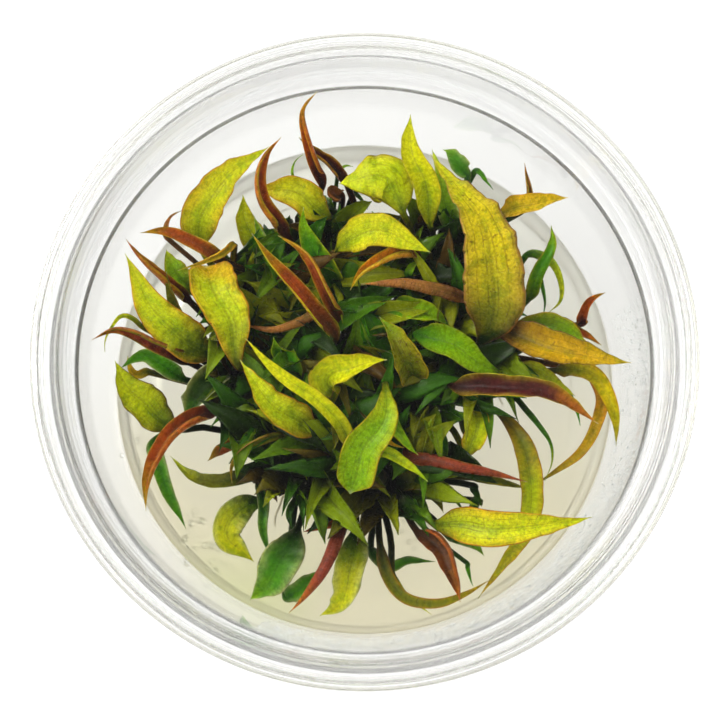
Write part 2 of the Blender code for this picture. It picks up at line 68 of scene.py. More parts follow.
# The gel and the crowns that stand in it
GEL_TOP, GEL_BOTTOM = 14.0, 2.5
GEL_TOP_RADIUS, GEL_BOTTOM_RADIUS, GEL_ROUND = 48.4, 46.9, 0.7
CROWN_BOTTOM, CROWN_TOP = 8.0, 17.0
CROWN_RADIUS = 2.1
CROWN_MESH = 20
ROOTS, ROOT_STEPS, ROOT_MESH = 6, 14, (26, 6)
ROOT_HEIGHTS, ROOT_RADII = (9.5, 12.0), (0.34, 0.12)
ROOT_FLOOR_GAP, ROOT_WALL_GAP = 0.8, 1.5

# The leaves' centre lines
STALK_WIDTH, TIP_WIDTH = 1.3, 0.5
STALK_CIRCLE = CROWN_RADIUS + 0.9
STALK_BOTTOM = GEL_TOP + 0.9
STALK_STEPS, BLADE_STEPS = 3, 5
LEVELLING = 3.0
STALK_LEAN, STALK_RISE = 0.35, 0.62
SHEATH_DEPTH = 0.6

# Room that the leaves keep from one another, and how they give way
CLEAR, WALL_ROOM, CROWN_ROOM = 0.95, 0.8, 0.75
LOWEST, HIGHEST = GEL_TOP + 0.8, PANEL_TOP - LID_SHEET - 0.7
REACH, LOOK, LONGEST_PUSH = 1.5, 2.6, 1.5
ROUNDS, SMALL_ROUNDS, RESORT = 160, 24, 8
EASE = 0.6
FEWEST_SAMPLES = 0.35

# Samples between two steps of a leaf, and across it, for the main leaves alone and for all of them together
SAMPLES, SMALL_SAMPLES = (4, 5), (2, 3)

# The photograph looks down through the lid. A place on a leaf is given as (x, y, height): x and y are
# pixels of the 728-pixel photograph, and the height is in millimetres above the foot.
PHOTO_SIDE = 728
PHOTO_FOCUS = 1705.0
SENSOR_SIDE = 36.0
EYE = np.array([-0.1, -57.2, 344.0])
AIM = np.array([-0.1, -2.5, 49.5])

# Where each plantlet stands, as pixels at the gel's surface
CROWNS = {
    "plant_1": (330, 255),
    "plant_2": (440, 262),
    "plant_3": (250, 315),
    "plant_4": (250, 395),
    "plant_5": (325, 345),
    "plant_6": (415, 395),
    "plant_7": (470, 355),
    "plant_8": (378, 480),
    "plant_9": (300, 468),
}

# Where along the blade each shape reaches its full width, and where it starts to taper
SHAPES = {
    "strap": (0.12, 0.55),
    "lance": (0.35, 0.45),
    "broad": (0.42, 0.50),
    "drawn": (0.28, 0.36),
    "fan": (0.70, 0.80),
}

# The studio's light, and how often it may pass from one clear sheet to the next
LIGHT_BOUNCES, DIFFUSE_BOUNCES = 20, 4
FLOOR_GLOW, FLOOR_SIDE, FLOOR_LEVEL = 0.93, 900.0, -0.05
KEY_WAY = (-0.55, 0.35, 0.76)
KEY_STRENGTH, FILL_STRENGTH = 2.2, 0.82
WINDOW_STRENGTH, WINDOW_EDGE = 10.0, (0.93, 0.965)
FLAG_WAY, FLAG_EDGE, FLAG_DARKNESS = (0.0, 0.18, 0.984), (0.925, 0.962), 0.03

# Linear colours of leaf tissue, and a pale cream that paints highlights along some margins and at the tips
COLOURS = {
    "yellow": (0.60, 0.60, 0.006),
    "lime": (0.52, 0.58, 0.005),
    "leaf": (0.24, 0.42, 0.003),
    "green": (0.07, 0.26, 0.003),
    "dark": (0.028, 0.065, 0.004),
    "olive": (0.20, 0.20, 0.004),
    "mustard": (0.60, 0.48, 0.005),
    "amber": (0.54, 0.33, 0.006),
    "gold": (0.66, 0.46, 0.015),
    "orange": (0.64, 0.21, 0.008),
    "tan": (0.42, 0.17, 0.04),
    "rust": (0.42, 0.08, 0.012),
    "red": (0.32, 0.055, 0.022),
    "brown": (0.17, 0.05, 0.012),
    "maroon": (0.085, 0.014, 0.012),
    "cream": (0.62, 0.62, 0.26),
}

# How a blade's surface is marked: its long veins, the cross veins between them, speckles, and green mottling
MARKS = {
    "plain": (0.25, 0.10, 0.10, 0.0),
    "veined": (0.40, 0.30, 0.20, 0.0),
    "netted": (0.60, 0.75, 0.35, 0.0),
    "speckled": (0.55, 0.70, 0.80, 0.0),
    "mottled": (0.35, 0.20, 0.15, 1.0),
}

# How a blade is bent across: the angle that its halves rise at, how far its margins curl on, and how far it
# twists by its tip, in degrees
FORMS = {
    "open": (17, 26, 26),
    "channel": (28, 44, 30),
    "rolled": (28, 90, 30),
    "arched": (-8, -36, 16),
    "tube": (-25, -150, 20),
}

# Each leaf: (plantlet, shape, widest part in mm, fold in degrees, colours at base, middle, tip and margin,
# marks, form, route of the blade from its stalk to its tip)
# A pale cream margin paints a highlight along the leaf's edge; other margin colours are the leaf's own
LEAVES = [
    ("plant_1", "strap", 2.2, 25, "maroon rust amber orange", "veined", "rolled",
     [(320, 195, 31), (310, 155, 36), (303, 115, 39), (317, 92, 40)]),
    ("plant_1", "strap", 2.2, 30, "maroon maroon brown orange", "veined", "rolled",
     [(346, 184, 29), (330, 165, 31), (310, 150, 31), (299, 138, 30)]),
    ("plant_1", "strap", 2.8, 30, "maroon rust orange amber", "veined", "rolled",
     [(288, 236, 32), (264, 200, 37), (262, 165, 39), (281, 138, 39)]),
    ("plant_1", "lance", 6.5, 10, "lime yellow amber orange", "veined", "open",
     [(330, 214, 28), (308, 196, 31), (285, 188, 31), (258, 190, 29)]),
    ("plant_1", "lance", 6.8, 10, "lime yellow lime amber", "veined", "open",
     [(338, 250, 32), (365, 234, 36), (400, 238, 38), (431, 253, 38)]),
    ("plant_2", "broad", 9.4, 10, "lime lime lime gold", "veined", "arched",
     [(408, 212, 34), (395, 180, 38), (368, 178, 38), (339, 184, 35)]),
    ("plant_2", "lance", 5.0, 10, "lime yellow yellow gold", "plain", "channel",
     [(428, 226, 32), (421, 185, 37), (411, 150, 39), (410, 115, 38)]),
    ("plant_2", "lance", 4.2, 10, "green leaf lime cream", "plain", "open",
     [(453, 240, 26), (447, 210, 30), (440, 180, 32), (432, 150, 32)]),
    ("plant_2", "lance", 4.2, 10, "amber gold gold orange", "veined", "channel",
     [(500, 216, 29), (520, 207, 32), (544, 202, 33), (568, 198, 33)]),
    ("plant_2", "strap", 2.8, 30, "brown orange amber gold", "veined", "rolled",
     [(418, 253, 33), (390, 255, 36), (363, 268, 37), (350, 290, 36)]),
    ("plant_2", "strap", 2.6, 20, "brown tan tan orange", "speckled", "tube",
     [(468, 299, 32), (440, 288, 35), (400, 282, 37), (361, 285, 37)]),
    ("plant_3", "drawn", 7.6, 10, "lime yellow lime orange", "veined", "open",
     [(202, 250, 28), (201, 215, 33), (222, 183, 35), (269, 147, 36)]),
    ("plant_3", "strap", 2.8, 20, "brown rust amber gold", "veined", "channel",
     [(222, 262, 30), (198, 245, 33), (170, 232, 34), (141, 233, 33)]),
    ("plant_3", "strap", 2.4, 25, "maroon rust rust amber", "veined", "rolled",
     [(190, 300, 26), (164, 280, 31), (138, 258, 34), (117, 235, 34)]),
    ("plant_4", "drawn", 7.8, 10, "dark lime yellow orange", "mottled", "open",
     [(216, 356, 27), (178, 338, 32), (149, 303, 35), (125, 254, 37)]),
    ("plant_4", "strap", 2.7, 20, "maroon red orange olive", "speckled", "rolled",
     [(190, 362, 28), (158, 346, 34), (120, 330, 37), (92, 340, 37)]),
    ("plant_4", "broad", 7.5, 10, "dark lime lime brown", "veined", "open",
     [(178, 430, 23), (152, 412, 26), (130, 390, 29), (115, 361, 31)]),
    ("plant_4", "strap", 3.2, 20, "maroon rust gold rust", "veined", "rolled",
     [(216, 410, 30), (175, 430, 34), (150, 468, 34), (146, 511, 31)]),
    ("plant_4", "strap", 3.0, 10, "green green green cream", "plain", "open",
     [(155, 440, 21), (160, 470, 21), (172, 500, 19), (186, 529, 17)]),
    ("plant_4", "fan", 9.4, 10, "olive lime amber orange", "veined", "channel",
     [(239, 370, 32), (230, 328, 36), (215, 292, 37), (205, 266, 33)]),
    ("plant_4", "lance", 5.0, 10, "dark green leaf cream", "plain", "open",
     [(270, 322, 22), (272, 285, 27), (264, 250, 29), (254, 216, 30)]),
    ("plant_5", "strap", 3.0, 25, "brown rust amber yellow", "veined", "rolled",
     [(337, 337, 32), (306, 298, 38), (280, 268, 40), (252, 234, 40)]),
    ("plant_5", "strap", 2.4, 25, "brown rust amber gold", "veined", "rolled",
     [(340, 322, 30), (325, 297, 34), (306, 258, 37), (278, 236, 37)]),
    ("plant_5", "lance", 4.8, 15, "dark green leaf yellow", "plain", "channel",
     [(338, 297, 26), (322, 265, 31), (305, 238, 32), (303, 209, 32)]),
    ("plant_5", "lance", 4.0, 10, "green leaf leaf lime", "plain", "channel",
     [(386, 312, 31), (405, 310, 32), (427, 315, 32), (448, 325, 30)]),
    ("plant_6", "lance", 5.6, 10, "dark olive leaf amber", "speckled", "channel",
     [(411, 388, 29), (406, 366, 34), (395, 342, 37), (379, 317, 37)]),
    ("plant_6", "fan", 7.8, 15, "lime leaf leaf amber", "veined", "channel",
     [(388, 388, 36), (384, 418, 39), (364, 452, 38), (350, 494, 34)]),
    ("plant_6", "strap", 4.0, 15, "maroon maroon orange gold", "veined", "channel",
     [(452, 388, 30), (500, 388, 34), (548, 395, 36), (598, 424, 34)]),
    ("plant_6", "lance", 5.4, 10, "green leaf leaf olive", "plain", "channel",
     [(414, 336, 31), (445, 342, 35), (474, 358, 35), (508, 376, 32)]),
    ("plant_6", "strap", 2.6, 20, "red red rust gold", "speckled", "tube",
     [(405, 454, 30), (440, 462, 33), (480, 470, 33), (527, 482, 30)]),
    ("plant_6", "lance", 4.6, 10, "amber lime amber orange", "veined", "open",
     [(497, 411, 25), (527, 455, 27), (526, 525, 23), (478, 599, 18)]),
    ("plant_7", "drawn", 11.6, 10, "dark mustard yellow tan", "netted", "open",
     [(484, 342, 31), (499, 298, 38), (484, 232, 41), (430, 158, 38)]),
    ("plant_7", "lance", 6.2, 15, "maroon amber gold maroon", "netted", "channel",
     [(490, 332, 31), (540, 345, 35), (590, 359, 37), (631, 363, 37)]),
    ("plant_7", "lance", 4.8, 10, "olive leaf lime amber", "veined", "open",
     [(514, 326, 27), (548, 325, 30), (578, 342, 30), (597, 368, 27)]),
    ("plant_7", "strap", 3.3, 15, "olive mustard olive orange", "veined", "channel",
     [(556, 371, 26), (592, 375, 30), (614, 408, 32), (616, 446, 31)]),
    ("plant_7", "strap", 2.4, 10, "orange amber olive orange", "veined", "open",
     [(586, 372, 23), (602, 402, 24), (582, 450, 21), (532, 487, 18)]),
    ("plant_8", "strap", 2.6, 15, "maroon red orange gold", "speckled", "tube",
     [(347, 510, 28), (332, 550, 32), (315, 585, 32), (289, 613, 28)]),
    ("plant_8", "lance", 5.8, 10, "green yellow yellow cream", "plain", "open",
     [(356, 528, 21), (352, 565, 24), (343, 600, 22), (320, 616, 18)]),
    ("plant_8", "strap", 2.4, 10, "olive olive amber orange", "veined", "open",
     [(380, 545, 20), (396, 592, 20), (440, 604, 20), (491, 579, 19)]),
    ("plant_8", "lance", 3.6, 20, "brown brown orange rust", "netted", "rolled",
     [(417, 530, 27), (437, 546, 31), (450, 574, 32), (460, 602, 29)]),
    ("plant_8", "drawn", 6.9, 10, "lime yellow lime orange", "netted", "open",
     [(437, 521, 28), (484, 528, 33), (535, 527, 35), (592, 517, 35)]),
    ("plant_8", "lance", 4.2, 10, "dark olive olive brown", "veined", "channel",
     [(393, 486, 23), (407, 488, 25), (424, 500, 26), (438, 517, 25)]),
    ("plant_8", "strap", 3.0, 25, "yellow yellow yellow gold", "plain", "channel",
     [(352, 447, 34), (332, 412, 39), (285, 378, 41), (246, 339, 40)]),
    ("plant_9", "strap", 3.0, 10, "dark olive lime olive", "plain", "open",
     [(262, 470, 22), (225, 482, 24), (190, 475, 22), (170, 456, 20)]),
    ("plant_9", "broad", 6.0, 10, "green yellow yellow cream", "mottled", "open",
     [(264, 500, 20), (236, 512, 22), (228, 535, 21), (254, 562, 18)]),
    ("plant_9", "broad", 7.6, 10, "dark green leaf cream", "plain", "open",
     [(298, 528, 21), (286, 555, 23), (270, 580, 21), (250, 600, 18)]),
    ("plant_9", "drawn", 6.4, 10, "olive lime lime orange", "veined", "open",
     [(318, 434, 31), (286, 414, 36), (259, 390, 38), (240, 360, 37)]),
    ("plant_9", "lance", 5.8, 15, "lime yellow yellow amber", "plain", "channel",
     [(334, 398, 30), (328, 378, 34), (352, 367, 37), (387, 360, 38)]),
]

# The smaller leaves and curled shoots, written in the same way
SMALL_LEAVES = [
    ("plant_5", "lance", 4.6, 15, "green green leaf lime", "plain", "channel",
     [(291, 378, 28), (288, 366, 31), (282, 350, 33), (277, 335, 34)]),
    ("plant_9", "strap", 2.4, 10, "green green green cream", "plain", "open",
     [(262, 478, 19), (262, 505, 21), (262, 532, 20), (270, 557, 18)]),
    ("plant_9", "strap", 1.6, 10, "green green green green", "plain", "open",
     [(298, 500, 19), (298, 510, 20), (297, 520, 20), (297, 530, 19)]),
    ("plant_7", "strap", 2.0, 30, "maroon rust amber orange", "veined", "rolled",
     [(577, 328, 27), (584, 312, 30), (592, 300, 31), (605, 293, 31)]),
    ("plant_4", "lance", 3.4, 12, "green green green cream", "plain", "channel",
     [(190, 374, 26), (168, 362, 30), (145, 355, 31), (119, 369, 30)]),
    ("plant_5", "strap", 1.9, 30, "tan tan brown tan", "veined", "tube",
     [(322, 306, 32), (306, 318, 33), (270, 331, 33), (240, 325, 31)]),
    ("plant_7", "strap", 2.6, 20, "leaf green leaf amber", "plain", "channel",
     [(527, 300, 27), (538, 272, 30), (550, 246, 31), (551, 226, 30)]),
    ("plant_3", "strap", 2.4, 25, "brown olive olive brown", "veined", "rolled",
     [(190, 332, 27), (178, 314, 29), (170, 292, 31), (165, 272, 31)]),
    ("plant_1", "lance", 5.0, 12, "olive lime yellow amber", "veined", "open",
     [(262, 262, 25), (252, 244, 27), (246, 220, 28), (243, 195, 28)]),
    ("plant_4", "lance", 5.0, 12, "dark dark green cream", "plain", "channel",
     [(225, 372, 25), (208, 384, 27), (196, 402, 27), (184, 420, 25)]),
    ("plant_3", "strap", 1.4, 30, "amber gold yellow orange", "plain", "rolled",
     [(243, 245, 31), (222, 253, 33), (198, 257, 33), (176, 268, 32)]),
    ("plant_3", "lance", 5.0, 12, "olive leaf lime amber", "veined", "open",
     [(200, 292, 24), (190, 278, 26), (180, 263, 27), (170, 248, 26)]),
    ("plant_2", "strap", 1.4, 20, "dark tan orange olive", "plain", "rolled",
     [(531, 205, 28), (529, 192, 30), (527, 178, 31), (525, 163, 31)]),
    ("plant_9", "strap", 2.6, 25, "maroon rust gold amber", "veined", "rolled",
     [(250, 428, 27), (236, 440, 28), (222, 452, 28), (208, 461, 27)]),
    ("plant_9", "strap", 1.6, 25, "olive olive amber tan", "veined", "rolled",
     [(286, 432, 30), (253, 443, 32), (232, 462, 31), (229, 485, 29)]),
    ("plant_2", "broad", 4.0, 10, "green green leaf cream", "plain", "open",
     [(470, 180, 24), (464, 168, 25), (455, 158, 25), (443, 150, 24)]),
    ("plant_2", "strap", 1.2, 10, "green green green green", "plain", "open",
     [(470, 172, 24), (478, 176, 25), (486, 182, 25), (493, 190, 24)]),
    ("plant_7", "strap", 1.9, 25, "rust rust orange green", "plain", "rolled",
     [(557, 322, 28), (572, 325, 30), (588, 332, 31), (606, 344, 30)]),
    ("plant_6", "strap", 1.2, 20, "green green lime green", "plain", "open",
     [(512, 397, 22), (534, 420, 24), (553, 450, 22), (545, 480, 19)]),
    ("plant_7", "strap", 1.2, 20, "green green green green", "plain", "open",
     [(568, 390, 24), (574, 402, 25), (578, 414, 25), (580, 426, 24)]),
    ("plant_6", "lance", 2.6, 25, "green leaf leaf yellow", "plain", "channel",
     [(383, 417, 33), (393, 430, 35), (404, 442, 35), (415, 454, 33)]),
    ("plant_6", "strap", 1.2, 20, "orange amber gold orange", "plain", "rolled",
     [(380, 440, 32), (388, 444, 33), (395, 447, 33), (402, 448, 32)]),
    ("plant_5", "strap", 1.6, 25, "green green leaf green", "plain", "channel",
     [(366, 345, 31), (364, 332, 33), (361, 318, 33), (358, 305, 33)]),
    ("plant_5", "strap", 1.8, 25, "green green leaf green", "plain", "channel",
     [(366, 350, 29), (371, 346, 31), (376, 343, 31), (381, 340, 30)]),
    ("plant_6", "lance", 3.2, 20, "dark olive leaf olive", "plain", "channel",
     [(420, 453, 29), (425, 440, 32), (429, 426, 33), (432, 412, 33)]),
    ("plant_6", "lance", 3.5, 15, "green green leaf cream", "plain", "channel",
     [(433, 430, 27), (439, 440, 29), (445, 450, 29), (450, 460, 27)]),
    ("plant_6", "strap", 1.5, 20, "green green green green", "plain", "channel",
     [(431, 407, 27), (440, 405, 28), (450, 405, 28), (460, 406, 27)]),
    ("plant_6", "strap", 2.5, 20, "dark olive olive brown", "plain", "channel",
     [(463, 415, 25), (461, 428, 27), (458, 440, 27), (455, 452, 25)]),
    ("plant_6", "lance", 4.2, 15, "yellow lime amber orange", "veined", "channel",
     [(462, 462, 28), (475, 443, 30), (477, 420, 31), (470, 400, 29)]),
    ("plant_8", "strap", 1.4, 15, "olive lime yellow olive", "plain", "open",
     [(387, 570, 19), (400, 588, 21), (416, 602, 22), (432, 614, 22)]),
    ("plant_8", "strap", 2.4, 15, "green green green cream", "plain", "open",
     [(376, 545, 17), (390, 568, 18), (410, 562, 18), (435, 562, 17)]),
    ("plant_7", "strap", 1.8, 40, "green lime lime yellow", "plain", "tube",
     [(525, 257, 24), (540, 254, 26), (556, 268, 27), (562, 290, 26), (558, 305, 25), (549, 313, 23)]),
    ("plant_7", "strap", 0.9, 30, "green green green green", "plain", "tube",
     [(538, 280, 24), (543, 288, 25), (545, 303, 25), (543, 318, 23)]),
    ("plant_8", "lance", 2.6, 20, "leaf lime leaf lime", "plain", "channel",
     [(427, 486, 25), (443, 474, 27), (458, 470, 27), (475, 473, 26)]),
    ("plant_8", "strap", 1.8, 20, "olive olive olive amber", "plain", "channel",
     [(473, 474, 25), (492, 478, 26), (512, 485, 26), (530, 488, 25)]),
    ("plant_8", "strap", 1.6, 20, "green green green green", "plain", "open",
     [(472, 487, 20), (475, 493, 21), (478, 499, 21), (481, 506, 20)]),
    ("plant_8", "strap", 0.9, 20, "green leaf leaf green", "plain", "open",
     [(448, 490, 20), (454, 498, 21), (460, 506, 21), (466, 515, 20)]),
    ("plant_8", "strap", 2.2, 20, "green green leaf cream", "plain", "open",
     [(477, 500, 18), (475, 505, 19), (473, 510, 19), (471, 516, 18)]),
    ("plant_9", "lance", 3.6, 15, "green green green cream", "plain", "open",
     [(285, 596, 17), (296, 592, 19), (308, 583, 19), (322, 570, 17)]),
    ("plant_8", "strap", 2.2, 25, "brown rust rust rust", "speckled", "rolled",
     [(345, 508, 26), (333, 517, 27), (320, 526, 27), (303, 532, 26)]),
    ("plant_8", "lance", 3.0, 15, "green green leaf cream", "plain", "open",
     [(446, 538, 19), (460, 537, 21), (474, 545, 21), (484, 556, 20)]),
    ("plant_8", "strap", 0.9, 20, "green green green green", "plain", "open",
     [(467, 560, 18), (468, 570, 19), (470, 578, 19), (473, 586, 18)]),
    ("plant_6", "strap", 2.0, 15, "leaf lime leaf lime", "plain", "channel",
     [(380, 446, 34), (396, 456, 36), (412, 468, 36), (428, 482, 34)]),
    ("plant_7", "lance", 3.5, 15, "lime lime yellow amber", "veined", "open",
     [(500, 380, 25), (528, 368, 27), (556, 372, 27), (575, 390, 25)]),
    ("plant_9", "lance", 3.0, 20, "maroon maroon brown brown", "plain", "channel",
     [(275, 470, 21), (276, 482, 22), (277, 493, 22), (278, 504, 21)]),
    ("plant_1", "lance", 3.0, 20, "maroon brown brown rust", "plain", "rolled",
     [(345, 200, 27), (341, 194, 28), (336, 189, 28), (329, 187, 27)]),
    ("plant_1", "strap", 0.9, 20, "dark dark olive dark", "plain", "open",
     [(350, 195, 25), (355, 200, 26), (360, 205, 26), (365, 211, 25)]),
    ("plant_1", "strap", 0.6, 20, "green leaf leaf leaf", "plain", "open",
     [(298, 185, 26), (292, 175, 28), (295, 162, 28), (303, 155, 27)]),
    ("plant_1", "strap", 0.8, 20, "green leaf leaf leaf", "plain", "open",
     [(338, 172, 27), (343, 168, 28), (347, 166, 28), (353, 167, 27)]),
    ("plant_3", "strap", 1.0, 20, "tan tan olive tan", "plain", "open",
     [(163, 242, 30), (165, 228, 31), (171, 217, 31), (182, 211, 30)]),
    ("plant_4", "strap", 1.0, 20, "olive lime lime amber", "plain", "open",
     [(145, 330, 31), (125, 315, 33), (107, 335, 33), (105, 352, 31)]),
    ("plant_4", "strap", 1.8, 20, "olive amber yellow amber", "plain", "open",
     [(150, 372, 24), (138, 375, 25), (130, 368, 26), (128, 356, 26)]),
    ("plant_5", "broad", 5.0, 15, "dark dark olive cream", "veined", "open",
     [(365, 318, 26), (364, 302, 28), (358, 285, 29), (352, 268, 28)]),
    ("plant_2", "strap", 1.6, 20, "green leaf leaf green", "plain", "channel",
     [(404, 272, 32), (409, 267, 34), (414, 262, 34), (419, 257, 33)]),
    ("plant_2", "strap", 1.6, 20, "brown rust orange rust", "plain", "channel",
     [(455, 268, 26), (453, 273, 27), (450, 278, 27), (447, 283, 26)]),
]

# Young and lower leaves that fill the clump under the others. Each plant has so many, and each tuft of its
# offsets, at these pixels, so many, in golden-angle turns, with a length and a width in these ranges. Their
# blades start on a ring round the plant's or the tuft's middle
YOUNG_LEAVES, TUFT_LEAVES = 20, 9
TUFTS = [
    ("plant_2", (408, 288)),
    ("plant_5", (350, 398)),
    ("plant_5", (285, 292)),
    ("plant_5", (372, 300)),
    ("plant_6", (446, 318)),
    ("plant_6", (420, 440)),
    ("plant_9", (300, 412)),
    ("plant_9", (338, 440)),
    ("plant_3", (282, 350)),
    ("plant_3", (238, 296)),
    ("plant_1", (300, 262)),
]
YOUNG_LENGTH = (12.0, 27.0)
YOUNG_WIDTH = (2.6, 6.6)
YOUNG_SHAPES = ("lance", "broad", "drawn")
YOUNG_FORMS = ("channel", "open", "arched", "channel")
YOUNG_FOLD, YOUNG_REACH, YOUNG_START = 20, (0.5, 0.93), (4.0, 9.0)
YOUNG_RADIUS, YOUNG_TOP, SHORTEST_REACH = 31.0, 32.0, 2.5
PLANT_RING, TUFT_RING = 3.8, 2.6
GOLDEN_ANGLE = math.radians(137.5)

# Rows along the stalk, rows along the blade and points across, for the mesh of a leaf. A leaf narrower than
# NARROW_LEAF has the smaller mesh
LEAF_MESH, SMALL_LEAF_MESH, YOUNG_LEAF_MESH = (12, 40, 13), (8, 28, 9), (6, 16, 7)
NARROW_LEAF = 3.0

# How wide a leaf's tip and how thick its blade is, how far its margins wave and its midrib sways as shares of
# its width, the width over which it folds less, and how much further one margin may curl than the other
FINEST_TIP, BLADE_THICK = 0.12, 0.11
WAVES, SWAY = 0.075, 0.05
WIDEST_FOLDED, CURL_BIAS = 5.5, 0.7
CEILING, WALL_GAP = PANEL_TOP - LID_SHEET - 0.15, 0.25

# Leaves differ by their seeds, which count on from 1 for the main ones and from here for the small ones
FIRST_SMALL_SEED = 101

# Condensed drops on the wall, in an arc in degrees from a height up, and round the rim. Each is flattened
DROPLETS, RIM_DROPLETS = 5900, 420
DROPLET_ARC, DROPLET_LOW, DROPLET_RISE = (-112.0, 14.0), GEL_TOP + 4.0, 20.0
DROPLET_SIZE, DROPLET_SPREAD, RIM_DROPLET_SIZE = 0.10, 0.22, (0.08, 0.22)
BEAD_ROWS, BEAD_SIDES, BEAD_HEIGHT = 3, 6, 0.7
RIM_WATER_RADIUS, RIM_WATER_HEIGHT = 53.5, 43.75

# Bubbles on the gel: the middle of each group as pixels, how far it spreads in mm, and how many there are
BUBBLES = [((207, 548), 3.4, 30), ((412, 536), 2.2, 14), ((150, 470), 3.0, 10)]
BUBBLE_SIZE = (0.2, 0.75)

# The darker, greener tint of a blade, and how much of it goes into its patches, which are the tissue's own,
# and into the valley of its midrib, where it is painted shade
DAPPLE_AND_SHADE_TINT, DAPPLING, VALLEY_SHADE = (0.34, 0.58, 0.5), 0.4, 0.55

# Where the clump's middle is, and the painted shade that darkens the leaves towards the middle and downwards
CLUMP = (370, 372)
DEEP, SHALLOW, YOUNG_SHALLOW = GEL_TOP + 2.0, 36.0, 50.0
CORE_RADIUS, OPEN_RADIUS = 23.0, 43.0
DARKEST = 0.07


def unit(vector):
    return vector / max(np.linalg.norm(vector), 1e-9)


def from_photo(x, y, height):
    """The place at this height, in millimetres, that the photograph shows at pixel (x, y)."""
    ahead = unit(AIM - EYE)
    right = np.array([1.0, 0.0, 0.0])
    above = np.cross(right, ahead)
    middle = PHOTO_SIDE / 2
    ray = ahead * PHOTO_FOCUS + right * (x - middle) - above * (y - middle)
    return EYE + ray * (height - EYE[2]) / ray[2]


def round_axis(radius, angle, height):
    """The place at a radius, an angle and a height about an upright axis."""
    return radius * math.cos(angle), radius * math.sin(angle), height


def wall_radius(height):
    """The inside radius of the cup's wall at a height."""
    radii, heights = zip(WALL_FOOT, LEDGE_LOW, LEDGE_HIGH, WALL_TOP)
    return np.interp(height, heights, radii)


def smooth_curve(points, count):
    """count places spread evenly along a Catmull-Rom curve through the points."""
    points = np.array([2 * points[0] - points[1], *points, 2 * points[-1] - points[-2]])
    dense = []
    for i in range(1, len(points) - 2):
        before, start, end, after = points[i - 1 : i + 3]
        for t in np.linspace(0.0, 1.0, 12, endpoint=False):
            square = (2 * before - 5 * start + 4 * end - after) * t**2
            cube = (3 * start - before - 3 * end + after) * t**3
            dense.append(0.5 * (2 * start + (end - before) * t + square + cube))
    dense = np.array([*dense, points[-2]])
    along = lengths(dense)
    return places_along(dense, along, np.linspace(0.0, along[-1], count))


def lengths(line):
    """How far along a line each of its points lies."""
    return np.concatenate([[0.0], np.cumsum(np.linalg.norm(np.diff(line, axis=0), axis=1))])


def places_along(line, along, wanted):
    """The places on a line at the wanted lengths."""
    return np.stack([np.interp(wanted, along, line[:, k]) for k in range(3)], 1)


def blade_width(shape, share):
    """Width at a share of the blade's length, as a share of its widest."""
    full, taper = SHAPES[shape]
    up = np.clip(share / full, 0.0, 1.0)
    down = np.clip((1.0 - share) / (1.0 - taper), 0.0, 1.0)
    return np.sin(up * math.pi / 2) * np.sin(down * math.pi / 2) ** 0.9


def line_frames(line, middle):
    """At each step of a line, the way across the leaf and the way that its upper face looks.

    The way across is level where the leaf lies flat, and is carried on from the step before where the leaf
    climbs, so that it never flips over.
    """
    ahead = np.gradient(line, axis=0)
    ahead /= np.linalg.norm(ahead, axis=1)[:, None]
    level = np.stack([ahead[:, 1], -ahead[:, 0], np.zeros(len(ahead))], 1)
    across = level.copy()
    across[middle] = unit(level[middle])
    onward = [(step, step - 1) for step in range(middle + 1, len(ahead))]
    back = [(step, step + 1) for step in range(middle - 1, -1, -1)]
    for step, last in onward + back:
        carried = across[last] - ahead[step] * (across[last] @ ahead[step])
        side = 1.0 if level[step] @ carried > 0 else -1.0
        across[step] = unit(LEVELLING * side * level[step] + carried)
    return across, np.cross(across, ahead)


class Leaf:
    """A leaf's centre line, from the crown up its stalk and along its blade, with a width at each step."""

    def __init__(self, name, crown, start_angle, spec, blade=None):
        _, self.shape, self.width, self.fold, colours, self.marks, self.form, route = spec
        self.name = name
        self.colours = colours.split()
        if blade is None:
            blade = [from_photo(*place) for place in route]
        foot = np.array([crown[0], crown[1], STALK_BOTTOM])
        self.root = foot - np.array([0.0, 0.0, SHEATH_DEPTH])
        foot[:2] += STALK_CIRCLE * np.array([math.cos(start_angle), math.sin(start_angle)])
        bend = foot + (blade[0] - foot) * np.array([STALK_LEAN, STALK_LEAN, STALK_RISE])
        stalk = smooth_curve([foot, bend, blade[0]], STALK_STEPS + 1)
        blade = smooth_curve(blade, BLADE_STEPS + 1)
        self.line = np.concatenate([stalk, blade[1:]])
        share = np.linspace(0.0, 1.0, BLADE_STEPS + 1)
        self.stalk_width = min(STALK_WIDTH, self.width)
        widths = self.stalk_width + (self.width - self.stalk_width) * blade_width(self.shape, share)
        widths[-1] = TIP_WIDTH
        self.widths = np.concatenate([np.full(STALK_STEPS, self.stalk_width), widths])
        self.on_blade = np.arange(len(self.line)) > STALK_STEPS

    def frames(self):
        return line_frames(self.line, STALK_STEPS + 2)

    def rows(self):
        """Left edge, midrib and right edge at each step."""
        across, face = self.frames()
        half = self.widths[:, None] / 2
        fold = math.radians(self.fold)
        lift = face * half * math.sin(fold)
        side = across * half * math.cos(fold)
        return np.stack([self.line - side + lift, self.line, self.line + side + lift], 1)


def stalk_angles(ways):
    """Evenly spread angles round a crown, in the order in which the leaves lean, from the widest gap on."""
    order = np.argsort(ways)
    gaps = np.diff(np.append(ways[order], ways[order[0]] + 2 * math.pi))
    order = np.roll(order, -1 - int(gaps.argmax()))
    leaning = ways[order]
    leaning = np.where(leaning < leaning[0], leaning + 2 * math.pi, leaning)
    even = 2 * math.pi * np.arange(len(ways)) / len(ways)
    angles = np.empty(len(ways))
    angles[order] = even + (leaning - even).mean()
    return angles


